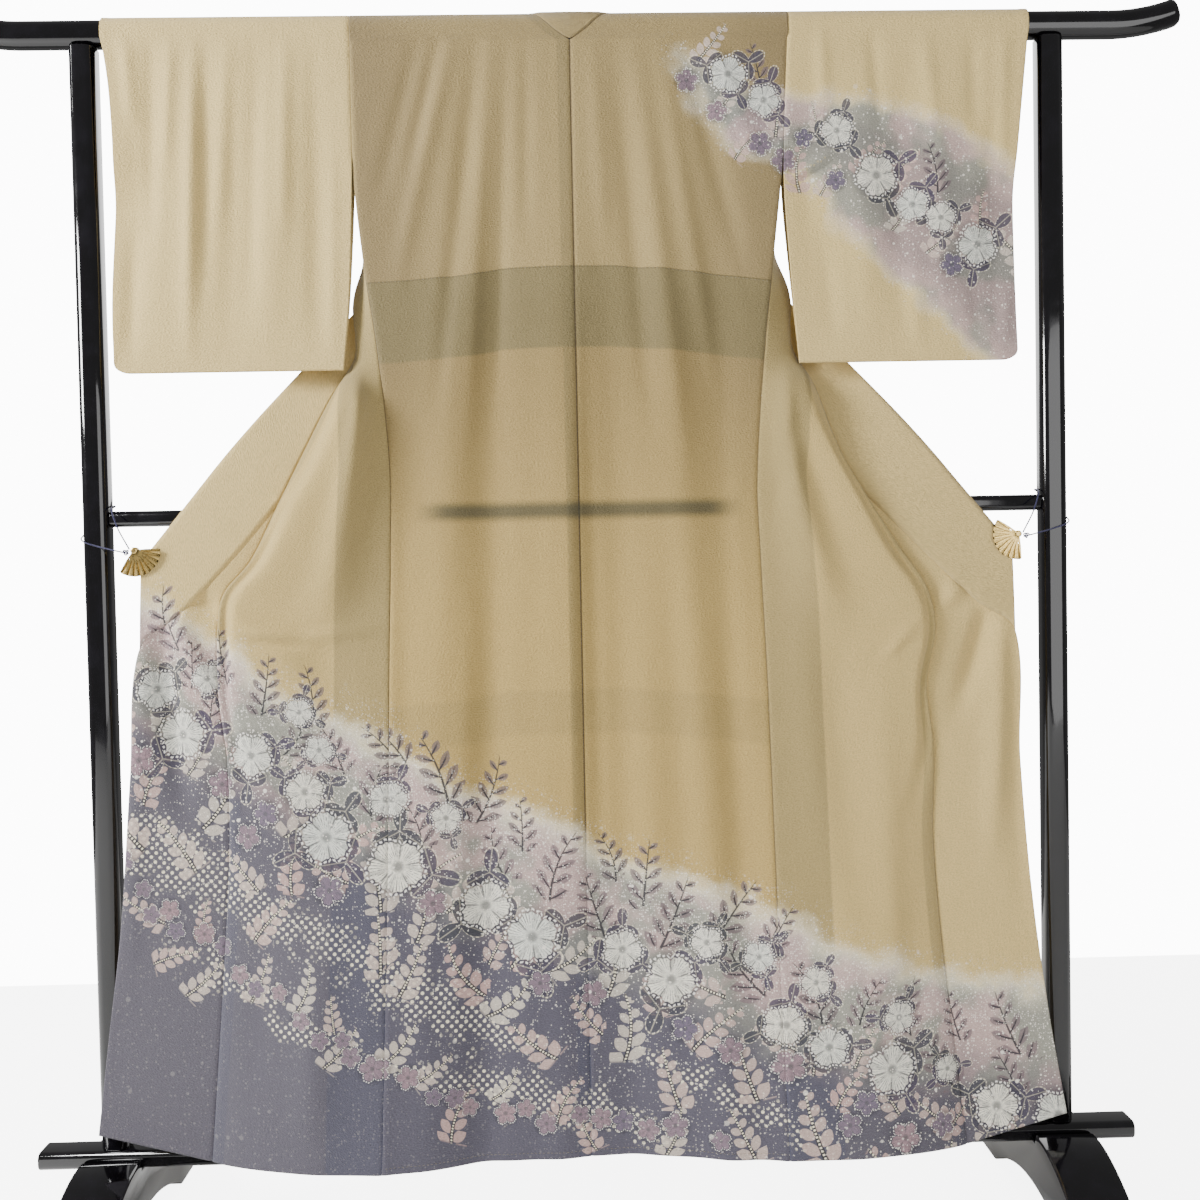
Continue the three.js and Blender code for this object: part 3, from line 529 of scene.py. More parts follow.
def across(grid):
    """Distance along each row from its first column."""
    steps = np.linalg.norm(np.diff(grid, axis=1), axis=-1)
    return np.concatenate([np.zeros((len(grid), 1)), np.cumsum(steps, axis=1)], axis=1)


def along(grid):
    """Distance down each column from the first row."""
    return across(grid.transpose(1, 0, 2)).T


# ---------- cloth shells ----------
def grid_faces(rows, cols):
    """Quads of a closed shell of two grids, each rows by cols."""
    i, j = np.meshgrid(np.arange(rows - 1), np.arange(cols - 1), indexing="ij")
    a = (i * cols + j).ravel()
    under = rows * cols
    top = np.stack([a, a + cols, a + cols + 1, a + 1], axis=1)
    rim = np.concatenate([
        np.arange(cols - 1), np.arange(rows - 1) * cols + cols - 1,
        (rows - 1) * cols + np.arange(cols - 1, 0, -1), np.arange(rows - 1, 0, -1) * cols,
    ])
    after = np.roll(rim, -1)
    return np.concatenate([
        top, top[:, ::-1] + under, np.stack([rim, after, after + under, rim + under], axis=1)
    ])


def shell(name, grid, thickness, attributes, motifs):
    """A closed cloth shell through a grid of places in millimetres, with its attributes."""
    rows, cols = grid.shape[:2]
    normal = np.cross(np.gradient(grid, axis=0), np.gradient(grid, axis=1))
    normal /= np.maximum(np.linalg.norm(normal, axis=-1, keepdims=True), 1e-9)
    half = np.broadcast_to(thickness, (rows, cols))[..., None] * 0.5
    points = np.concatenate([(grid + normal * half).reshape(-1, 3), (grid - normal * half).reshape(-1, 3)])
    faces = grid_faces(rows, cols)
    corner = points[faces]
    volume = np.einsum("ij,ij->", corner[:, 0], np.cross(corner[:, 1], corner[:, 2]))
    volume += np.einsum("ij,ij->", corner[:, 0], np.cross(corner[:, 2], corner[:, 3]))
    if volume < 0:
        faces = faces[:, ::-1]
    mesh = bpy.data.meshes.new(name)
    mesh.from_pydata(points / 1000, [], faces.tolist())
    mesh.shade_smooth()
    for key, value in attributes.items():
        stored = mesh.attributes.new(key, "FLOAT_VECTOR", "POINT")
        flat = np.broadcast_to(value, (rows, cols, 3)).reshape(-1, 3)
        stored.data.foreach_set("vector", np.concatenate([flat, flat]).astype(np.float32).ravel())
    inner = mesh.attributes.new("inner", "FLOAT", "POINT")
    share = np.zeros(len(points), np.float32)
    facing = normal[:rows // 4, :, 1].mean()
    share[(rows * cols if facing < 0 else 0):(None if facing < 0 else rows * cols)] = 1
    inner.data.foreach_set("value", share)
    plan = attributes["plan"].reshape(-1, 3)
    plan = np.concatenate([plan, plan])
    for key, (marks, reach) in motifs.items():
        local = motif_coordinates(plan, faces, marks, reach)
        stored = mesh.attributes.new(key, "FLOAT_VECTOR", "CORNER")
        stored.data.foreach_set("vector", local.astype(np.float32).ravel())
    piece = bpy.data.objects.new(name, mesh)
    bpy.context.scene.collection.objects.link(piece)
    return piece


def motif_coordinates(plan, faces, marks, reach):
    """For each face corner, its place in the frame of the one motif that its face belongs to."""
    corner = plan[faces][..., :2] * 1000
    middle = corner.mean(axis=1)
    best, owner = np.full(len(faces), reach), np.full(len(faces), -1)
    for k, (x, z, radius, _, _) in enumerate(marks):
        share = np.hypot(middle[:, 0] - x, middle[:, 1] - z) / radius
        closer = share < best
        best, owner = np.where(closer, share, best), np.where(closer, k, owner)
    local = np.full((len(faces), 4, 3), -1.0)
    drawn = owner >= 0
    if drawn.any():
        x, z, radius, angle, kind = np.array(marks)[owner[drawn]].T[:, :, None]
        dx, dz = (corner[drawn][..., 0] - x) / radius, (corner[drawn][..., 1] - z) / radius
        cos, sin = np.cos(angle), np.sin(angle)
        local[drawn] = np.stack([dx * cos + dz * sin, dz * cos - dx * sin, kind + 0 * dx], axis=-1)
    return local


# ---------- where the motifs lie ----------
BIG, SMALL = 0, 1
LEAF = 0
BEADED, TWIG = 0, 1


def line_places(line, spacing):
    """Places every so often along a line of places, with the line's direction."""
    x, z = line["x"], line["z"]
    run = np.concatenate([[0], np.cumsum(np.hypot(np.diff(x), np.diff(z)))])
    at = np.arange(spacing / 2, run[-1], spacing)
    px, pz = np.interp(at, run, x), np.interp(at, run, z)
    return px, pz, np.arctan2(np.gradient(pz), np.gradient(px))


def apart(marks, x, z, radius, share):
    """True if a new motif keeps its distance from those already placed."""
    return all(math.hypot(x - m[0], z - m[1]) > share * (radius + m[2]) for m in marks)


def scatter(draw, marks, line, spacing, spread, radius, kind, tries=1, share=0.9, lean=None):
    """Scatters motifs beside a line. Each is x, z, radius, turn, kind + a share for its tint."""
    for _ in range(tries):
        for x, z, direction in zip(*line_places(line, spacing)):
            off, shift = draw.uniform(*spread), draw.uniform(-0.4, 0.4) * spacing
            px = x + shift * math.cos(direction) - off * math.sin(direction)
            pz = z + shift * math.sin(direction) + off * math.cos(direction)
            size = draw.uniform(*radius)
            turn = draw.uniform(0, 2 * math.pi) if lean is None else draw.uniform(*lean)
            tint = draw.uniform(0.02, 0.98)
            if apart(marks, px, pz, size, share):
                marks.append((px, pz, size, turn, kind + tint))
    return marks


def lay_out_motifs():
    """The garlands of the skirt and the right sleeve, in layers drawn over each other."""
    draw = np.random.default_rng(41)
    blooms = scatter(draw, [], GARLAND, 84, (-26, 26), (29, 42), BIG, share=0.84)
    scatter(draw, blooms, GARLAND, 96, (34, 105), (20, 26), BIG, 2, share=1.1)
    scatter(draw, blooms, GARLAND, 62, (-78, -30), (18, 25), SMALL, 2, share=0.98)
    scatter(draw, blooms, LOWER_GARLAND, 34, (-16, 16), (13, 20), SMALL, 2, share=0.86)
    scatter(draw, blooms, SLEEVE_GARLAND, 66, (-30, 34), (23, 33), BIG, share=0.86)
    scatter(draw, blooms, SLEEVE_GARLAND, 40, (-62, -8), (13, 19), SMALL, 3, share=0.92)
    leaves = []
    for x, z, size, turn, kind in blooms:
        if kind >= SMALL:
            continue
        for k in range(3):
            angle = turn + k * 2.1 + draw.uniform(-0.4, 0.4)
            reach, radius = size * draw.uniform(1.05, 1.25), size * draw.uniform(0.84, 1.02)
            px, pz = x + reach * math.cos(angle), z + reach * math.sin(angle)
            if apart(leaves, px, pz, radius, 0.55):
                leaves.append((px, pz, radius, angle - math.pi / 2, LEAF + draw.uniform(0.02, 0.98)))
    up = (-0.7, 0.7)
    sprays = scatter(draw, [], GARLAND, 47, (48, 138), (42, 62), TWIG, 3, share=0.52, lean=up)
    scatter(draw, sprays, GARLAND, 46, (-40, 60), (36, 52), BEADED, 3, share=0.56, lean=(-1.2, 1.2))
    scatter(draw, sprays, GARLAND, 48, (-165, -50), (40, 58), BEADED, 3, share=0.56, lean=(-1.0, 1.0))
    scatter(draw, sprays, LOWER_GARLAND, 60, (-52, 48), (30, 44), BEADED, 2, share=0.66, lean=(-1.4, 1.4))
    scatter(draw, sprays, SLEEVE_GARLAND, 44, (-62, 26), (28, 42), BEADED, 3, share=0.6, lean=(-0.9, 0.9))
    scatter(draw, sprays, SLEEVE_GARLAND, 56, (14, 48), (28, 40), TWIG, 2, share=0.56, lean=up)
    return {"bloom": (blooms, 1.3), "leaf": (leaves, 1.2), "spray": (sprays, 1.3)}


def dye(x, z, patch=True):
    """Depth into the dyed skirt, into the shoulder patch, and into the dotted streaks, in metres."""
    far, _ = near_line(SKIRT_EDGE, x, z)
    edge = np.interp(x, SKIRT_EDGE["x"], SKIRT_EDGE["z"])
    depth = np.where(z < edge, far, -far)
    inside = inside_band(PATCH, x, z) if patch else np.full(np.shape(x), -500.0)
    dots = np.max([inside_band(streak, x, z) for streak in DOT_STREAKS], axis=0)
    return np.stack([depth, inside, dots], axis=-1) / 1000


def stand_for(piece, node):
    """Makes a piece stand for a frame node and ride with the only body."""
    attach(piece, "root")
    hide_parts(node)


NAMES = {-1: "left", 1: "right"}
NOWHERE = 1.0  # metres from a seam that this cloth doesn't have
MEET = -0.2    # millimetres that sewn edges pass their seam line, so that no light shows between


def cloth_sizes(context):
    """Grid step, thickness and seam dip in millimetres."""
    cloth = context.scene.kimono_cloth
    return cloth.step * 1000, cloth.thickness * 1000, cloth.seam_dip * 1000


def body_panel(context, side, motifs, material):
    """One body panel: back hem, over the rod, front hem."""
    step, thick, dip = cloth_sizes(context)
    u = edged(int(290 / step), 290)[None, :]
    hem_rows = HEM_RUN - np.array([0, 2.5, 6.0])
    runs = np.concatenate([spaced(NECK_RUN, hem_rows[-1] - step, step), hem_rows[::-1]])[:, None]
    back = back_points(side, side_height(runs[::-1]), u)
    wraps = np.arange(-48, 49, 4.0)[:, None]
    side_x = float(column(SIDE[side], "z", "x", ROD_Z))
    top = over_rod(side * mix(neck_x(wraps), side_x, u), wraps + 0 * u)
    full = np.broadcast_arrays(runs, u)
    front = front_points(side, full[0], full[1])
    collar_hold = mix(COLLAR_HOLD, MEET, smooth(*COLLAR_SEWN, runs[:, 0]))[:, None]
    back, top = held_back(back, MEET, MEET), held_back(top, MEET, MEET)
    front = held_back(front, collar_hold, MEET)
    for part, first in ((back, 1.0), (front, smooth(600, 700, runs))):
        width = across(part)
        edge = bell(width, 2.6) * first + bell(width[:, -1:] - width, 2.6)
        part[..., 1] += dip * edge
    grid = np.concatenate([back, top, front])
    count = len(back), len(top), len(front)
    width = across(grid)
    is_front = np.repeat([0, 0, 1], count)[:, None]
    seam_x = np.abs(grid[:, :1, 0])
    plan_x = np.where(is_front, side * (seam_x - width), grid[..., 0])
    plan_x = np.where(is_front & (grid[..., 2] > PLAIN_ABOVE), side * FAR_OFF, plan_x)
    plan = places(plan_x / 1000, grid[..., 2] / 1000, 0)
    down = along(grid)
    cut = places(side * width / 1000, down / 1000, side * 0.5 + 0.5)
    tuck = (np.interp(grid[..., 0], TUCK_LINE["x"], TUCK_LINE["z"]) - grid[..., 2]) / 1000
    from_side = np.where(is_front, (width[:, -1:] - width) / 1000, NOWHERE)
    from_centre = np.where(is_front, NOWHERE, side * width / 1000)
    layers = places(np.where(is_front, -NOWHERE, tuck), from_side, from_centre)
    from_front = np.where(is_front, width / 1000, NOWHERE)
    # share of the single-layer colour: painted light shining through one layer, less of it above the tuck
    warm = np.where(is_front, 0.55, 1.0) * (1 - smooth(1300, 1345, grid[..., 2]) * 0.55)
    edges = places(from_front, warm, is_front + 0 * width)
    ends = np.minimum(down, down[-1:] - down)
    thickness = thick * (1 + 1.0 * (1 - smooth(7, 10, ends)))
    dyed = dye(plan_x, grid[..., 2])
    dyed[..., 1] = np.where(is_front, -0.5, dyed[..., 1])
    attributes = {"plan": plan, "cut": cut, "layers": layers, "edges": edges, "dye": dyed}
    name = f"kimono_body_{NAMES[side]}"
    piece = shell(name, grid, thickness, attributes, motifs)
    piece.data.materials.append(material)
    stand_for(piece, f"body_{NAMES[side]}")


def overlap_panel(context, side, motifs, material):
    """One overlap panel, from its tip at the collar to the hem."""
    step, thick, dip = cloth_sizes(context)
    u = edged(int(140 / step), 150)[None, :]
    hem_rows = HEM_RUN - np.array([0, 2.5, 6.0])
    runs = np.concatenate([spaced(TIP_RUN + 4, hem_rows[-1] - step, step), hem_rows[::-1]])[:, None]
    outer = places(
        side * column(EDGE[side], "run", "x", runs), column(EDGE[side], "run", "y", runs),
        column(EDGE[side], "run", "z", runs),
    )
    inner = seam_points(side, runs)
    grid = inner + (outer - inner) * u[..., None]
    grid[..., 1] += clip_push(side, grid[..., 0], grid[..., 2]) * np.sin(math.pi * u) ** 0.5
    grid = held_back(grid, MEET, MEET)
    width = across(grid)
    free_edge = smooth(COLLAR_END_RUN - 10, COLLAR_END_RUN + 10, runs)
    grid[..., 1] += dip * (bell(width, 2.6) + 0.4 * bell(width[:, -1:] - width, 2.6) * (1 - free_edge))
    seam_x = np.abs(grid[:, :1, 0])
    plan_x = side * (seam_x + width)
    down = along(grid)
    attributes = {
        "plan": places(plan_x / 1000, grid[..., 2] / 1000, 0),
        "cut": places(side * width / 1000, down / 1000, 2.0 + (side > 0)),
        "layers": places(-NOWHERE, NOWHERE, NOWHERE + 0 * width),
        "edges": places(NOWHERE, 0.35, 1.0 + 0 * width),
        "dye": dye(plan_x, grid[..., 2], patch=False),
    }
    hemmed = np.minimum(down[-1:] - down, mix(99, width[:, -1:] - width, free_edge))
    thickness = thick * (1 + 1.0 * (1 - smooth(7, 10, hemmed)))
    piece = shell(f"kimono_overlap_{NAMES[side]}", grid, thickness, attributes, motifs)
    piece.data.materials.append(material)
    stand_for(piece, f"overlap_{NAMES[side]}")


def collar_row(side, run, count):
    """Places across the collar at one run down the front edge, from its seam to its fold."""
    table_in = FRONT[side] if run <= TIP_RUN else EDGE[side]
    inner = np.array([float(column(table_in, "run", name, run)) for name in "xyz"])
    outer = np.array([float(column(COLLAR_EDGE, "run", name, run)) for name in "xyz"])
    t = np.linspace(0, 1, count)[:, None]
    row = inner + (outer - inner) * t
    row[:, 0] *= side
    inward = (row[1] - row[0]) / np.linalg.norm(row[1] - row[0])
    row[0] += inward * mix(COLLAR_HOLD, MEET, float(smooth(*COLLAR_SEWN, run)))
    swell = smooth(600, 760, run) * 0.9
    row[:, 1] -= swell * np.sin(math.pi * t[:, 0]) ** 0.8
    return row


def collar_neck_row(s, count):
    """Places across the collar where it folds over behind the neck."""
    turn = math.radians(COLLAR_NECK_TURN * abs(s + NECK_RUN) / (2 * NECK_RUN))
    t = np.linspace(0, 1, count)
    reach = COLLAR_FOLD * t
    x = np.maximum(float(neck_x(s)) - reach * math.sin(turn), 0)
    lift = mix(WRAP, COLLAR_WRAP, smooth(0, 0.25, t)) + 0.4 * t
    rows = [over_rod(a, s + b * math.cos(turn), c)[None] for a, b, c in zip(x, reach, lift)]
    return np.concatenate(rows)


def collar_band(context, motifs, material):
    """The collar, from one front end over the back of the neck to the other."""
    step, thick, _ = cloth_sizes(context)
    count = 15
    runs = spaced(NECK_RUN, COLLAR_END_RUN, step)
    neck = np.arange(-50, 43, 3.5)
    right = [collar_neck_row(s, count) for s in neck] + [collar_row(1, run, count) for run in runs]
    left = [row * (-1, 1, 1) for row in right[:len(neck)]]
    left += [collar_row(-1, run, count) for run in runs]
    grid = np.array(left[::-1] + [collar_neck_row(-NECK_RUN, count)] + right)
    width, down = across(grid), along(grid)
    shown = grid[..., 2] < PLAIN_ABOVE
    attributes = {
        "plan": places(np.where(shown, grid[..., 0], FAR_OFF) / 1000, grid[..., 2] / 1000, 0),
        "cut": places(width / 1000, down / 1000, 4.0),
        "layers": places(-NOWHERE, NOWHERE, np.where(grid[..., 2] > 1600, 0.13, NOWHERE)),
        "edges": places(NOWHERE, 0.15, 1.0 + 0 * width),
        "dye": dye(grid[..., 0], grid[..., 2], patch=False),
    }
    rounded = 1 - 0.6 * smooth(0.93, 1, np.linspace(0, 1, count))[None, :]
    piece = shell("kimono_collar", grid, 2 * thick * rounded, attributes, motifs)
    piece.data.materials.append(material)
    stand_for(piece, "collar")


def sleeve_layer(side, layer, z, u):
    """Places of the front (-1) or rear (+1) layer of a sleeve."""
    rounding = 1 - np.sqrt(1 - np.clip((u - 0.93) / 0.07, 0, 1) ** 2)
    corner = SLEEVE_CORNER * rounding * (1 - smooth(SLEEVE_BOTTOM, SLEEVE_BOTTOM + 60, z))
    x = side * mix(column(SLEEVE[side], "z", "inner", z), column(SLEEVE[side], "z", "cuff", z), u)
    up = (z - SLEEVE_BOTTOM) / (ROD_Z - SLEEVE_BOTTOM)
    sewn = smooth(0.78, 1, u) * (1 - smooth(CUFF_JOIN - 40, CUFF_JOIN + 40, z))
    gap = mix(mix(SLEEVE_PINCH, WRAP, up), SLEEVE_PINCH, sewn)
    y = SLEEVE_BOTTOM_Y * (1 - up) + layer * gap
    for at, forward, width in zip(*SLEEVE_FOLDS.values()):
        y = y - forward * np.sin(math.pi * np.minimum(up * 1.1, 1)) * bell(u - at, width)
    fade = smooth(0, 0.06, up) * smooth(0, 0.03, u) * smooth(0, 0.03, 1 - u)
    y = y - SLEEVE_CREASE_GAIN * creases(SLEEVE_CREASES, x, z) * fade
    return places(x, y, z + corner)


def sleeve(context, side, motifs, material):
    """One sleeve: front layer up, over the rod, rear layer down."""
    step, thick, dip = cloth_sizes(context)
    u = edged(int(330 / step), 330)[None, :]
    heights = np.concatenate([[SLEEVE_BOTTOM, SLEEVE_BOTTOM + 2.5],
                              spaced(SLEEVE_BOTTOM + 6, 1668, step)])[:, None]
    wraps = np.arange(-44, 45, 4.0)[:, None]
    inner, cuff = (float(column(SLEEVE[side], "z", name, ROD_Z)) for name in ("inner", "cuff"))
    top = over_rod(side * mix(inner, cuff, u), wraps + 0 * u)
    front = sleeve_layer(side, -1, heights, u)
    rear = sleeve_layer(side, 1, heights[::-1], u)
    grid = held_back(np.concatenate([front, top, rear]), MEET, 0.0)
    count = len(front), len(top), len(rear)
    width, down = across(grid), along(grid)
    facing = np.repeat([1, 1, 0], count)[:, None] + 0 * width
    joined_here = smooth(1500, 1520, grid[..., 2])
    grid[..., 1] += dip * bell(width, 2.6) * joined_here * np.where(facing > 0, 1, -1)
    plan_x = np.where(facing > 0, grid[..., 0], side * FAR_OFF)
    attributes = {
        "plan": places(plan_x / 1000, grid[..., 2] / 1000, 0),
        "cut": places(side * width / 1000, down / 1000, 5.0 + (side > 0)),
        "layers": places(-NOWHERE, NOWHERE, NOWHERE + 0 * width),
        "edges": places(NOWHERE, 0.1, facing),
        "dye": dye(plan_x, grid[..., 2], patch=side > 0),
    }
    free = np.minimum(np.minimum(down, down[-1:] - down), width[:, -1:] - width)
    thickness = thick * (1 + 0.8 * (1 - smooth(6, 9, free)))
    piece = shell(f"kimono_sleeve_{NAMES[side]}", grid, thickness, attributes, motifs)
    piece.data.materials.append(material)
    stand_for(piece, f"sleeve_{NAMES[side]}")


# ---------- node trees ----------
def add(tree, kind, *values, settings=None, **named):
    """Adds a node with its settings; values fill its inputs in order, and named ones by name."""
    kind, _, operation = kind.partition(" ")
    node = tree.nodes.new(kind if "Node" in kind else "ShaderNode" + kind)
    for key, value in (settings or {}).items():
        setattr(node, key, value)
    if operation:
        node.operation = operation
    shown = [socket for socket in node.inputs if socket.enabled]
    pairs = list(zip(shown, values))
    pairs += [(node.inputs[key.replace("_", " ")], value) for key, value in named.items()]
    for socket, value in pairs:
        if isinstance(value, bpy.types.Node):
            value = next(output for output in value.outputs if output.enabled)
        if isinstance(value, bpy.types.NodeSocket):
            tree.links.new(value, socket)
        elif value is not None:
            socket.default_value = (*value, 1.0) if socket.type == "RGBA" and len(value) == 3 else value
    return node


SMOOTH = {"interpolation_type": "SMOOTHSTEP"}
COLOURS = {"data_type": "RGBA"}
DARKEN = {"data_type": "RGBA", "blend_type": "MULTIPLY"}
FLAT = {"voronoi_dimensions": "2D"}
FLAT_NOISE = {"noise_dimensions": "2D"}


def new_material(name):
    """An empty node material with its surface output."""
    material = bpy.data.materials.new(name)
    material.use_nodes = True
    tree = material.node_tree
    tree.nodes.clear()
    return material, tree, tree.nodes.new("ShaderNodeOutputMaterial")


def split_motif(tree, name):
    """Distance, angle, x, y, kind and tint of one layer of motifs, and where it is drawn at all."""
    local = add(tree, "Attribute", settings={"attribute_name": name})
    xyz = add(tree, "SeparateXYZ", local.outputs["Vector"])
    x, y, code = xyz.outputs
    far = add(tree, "VectorMath LENGTH", add(tree, "CombineXYZ", x, y, 0.0)).outputs["Value"]
    angle = add(tree, "Math ARCTAN2", y, x)
    kind, tint = add(tree, "Math FLOOR", code), add(tree, "Math FRACT", code)
    drawn = add(tree, "Math GREATER_THAN", code, -0.5)
    return far, angle, x, y, kind, tint, drawn


def wave(tree, angle, times):
    """Sine of several times an angle."""
    return add(tree, "Math SINE", add(tree, "Math MULTIPLY", angle, float(times)))


def bloom_masks(tree):
    """Ruffled round blossoms: fill, drawn lines, white dotted rim and the shade around them."""
    far, angle, _, _, kind, tint, drawn = split_motif(tree, "bloom")
    lobes = add(tree, "Math ABSOLUTE", wave(tree, angle, 2.5))
    small = add(tree, "Math MINIMUM", kind, 1.0)
    depth = add(tree, "MapRange", small, 0.0, 1.0, 0.2, 0.4)
    base = add(tree, "MapRange", small, 0.0, 1.0, 0.68, 0.5)
    ruffle = add(tree, "Math MULTIPLY", wave(tree, angle, 19), 0.025)
    edge = add(tree, "Math MULTIPLY_ADD", add(tree, "Math POWER", lobes, 0.7), depth, base)
    edge = add(tree, "Math ADD", edge, ruffle)
    inside = add(tree, "Math SUBTRACT", edge, far)
    fill = add(tree, "MapRange", inside, 0.0, 0.04, 0.0, 1.0, settings=SMOOTH)
    fill = add(tree, "Math MULTIPLY", drawn, fill)
    cleft = add(tree, "Math MULTIPLY", lobes, far)
    cleft = add(tree, "MapRange", cleft, 0.02, 0.13, 1.0, 0.0, settings=SMOOTH)
    outer = add(tree, "MapRange", far, 0.12, 0.45, 0.0, 1.0, settings=SMOOTH)
    pleat = add(tree, "MapRange", wave(tree, angle, 44), 0.2, 0.95, 0.0, 0.75)
    fray = add(tree, "TexNoise", Vector=add(tree, "CombineXYZ", angle, far, tint), Scale=9.0, Detail=2.0)
    pleat = add(tree, "Math MULTIPLY", pleat, add(tree, "MapRange", fray, 0.35, 0.65, 0.2, 1.6))
    eye = add(tree, "MapRange", far, 0.08, 0.3, 0.85, 0.0, settings=SMOOTH)
    fold = add(tree, "Math MULTIPLY", wave(tree, angle, 7), fray)
    fold = add(tree, "MapRange", fold, 0.12, 0.5, 0.0, 0.42, settings=SMOOTH)
    lines = add(tree, "Math MAXIMUM", add(tree, "Math MAXIMUM", cleft, pleat), fold)
    lines = add(tree, "Math MAXIMUM", add(tree, "Math MULTIPLY", lines, outer), eye)
    lines = add(tree, "Math MULTIPLY", lines, fill)
    ring = add(tree, "Math SUBTRACT", far, add(tree, "Math ADD", edge, 0.085))
    ring = add(tree, "MapRange", add(tree, "Math ABSOLUTE", ring), 0.02, 0.05, 1.0, 0.0)
    dots = add(tree, "MapRange", wave(tree, angle, 34), -0.5, 0.2, 0.0, 1.0)
    rim = add(tree, "Math MULTIPLY", add(tree, "Math MULTIPLY", ring, dots), drawn)
    shade = add(tree, "MapRange", far, 0.78, 1.28, 0.85, 0.0, settings=SMOOTH)
    shade = add(tree, "Math MULTIPLY", shade, drawn)
    return fill, lines, rim, shade, small, tint


def leaf_masks(tree):
    """Dark three-lobed leaves behind the blossoms, with pale veins and dotted rims."""
    far, angle, _, _, _, tint, drawn = split_motif(tree, "leaf")
    turned = add(tree, "Math ADD", angle, -math.pi / 2)
    lobe = add(tree, "Math COSINE", add(tree, "Math MULTIPLY", turned, 1.5))
    lobe = add(tree, "Math POWER", add(tree, "Math ABSOLUTE", lobe), 1.9)
    edge = add(tree, "Math MULTIPLY_ADD", lobe, 0.8, 0.14)
    inside = add(tree, "Math SUBTRACT", edge, far)
    fill = add(tree, "MapRange", inside, 0.0, 0.05, 0.0, 1.0, settings=SMOOTH)
    fill = add(tree, "Math MULTIPLY", drawn, fill)
    side = add(tree, "Math ABSOLUTE", add(tree, "Math SINE", add(tree, "Math MULTIPLY", turned, 1.5)))
    vein = add(tree, "MapRange", add(tree, "Math MULTIPLY", side, far), 0.0, 0.05, 0.8, 0.0)
    ring = add(tree, "Math ABSOLUTE", add(tree, "Math ADD", inside, 0.03))
    ring = add(tree, "MapRange", ring, 0.0, 0.042, 1.0, 0.0)
    dots = add(tree, "MapRange", wave(tree, angle, 38), -0.4, 0.3, 0.2, 1.0)
    rim = add(tree, "Math MULTIPLY", add(tree, "Math MULTIPLY", ring, dots), drawn)
    return fill, add(tree, "Math MULTIPLY", vein, fill), rim, tint


SPRAY_STEP = 0.4     # from one pair of leaves to the next, in shares of the spray's half length


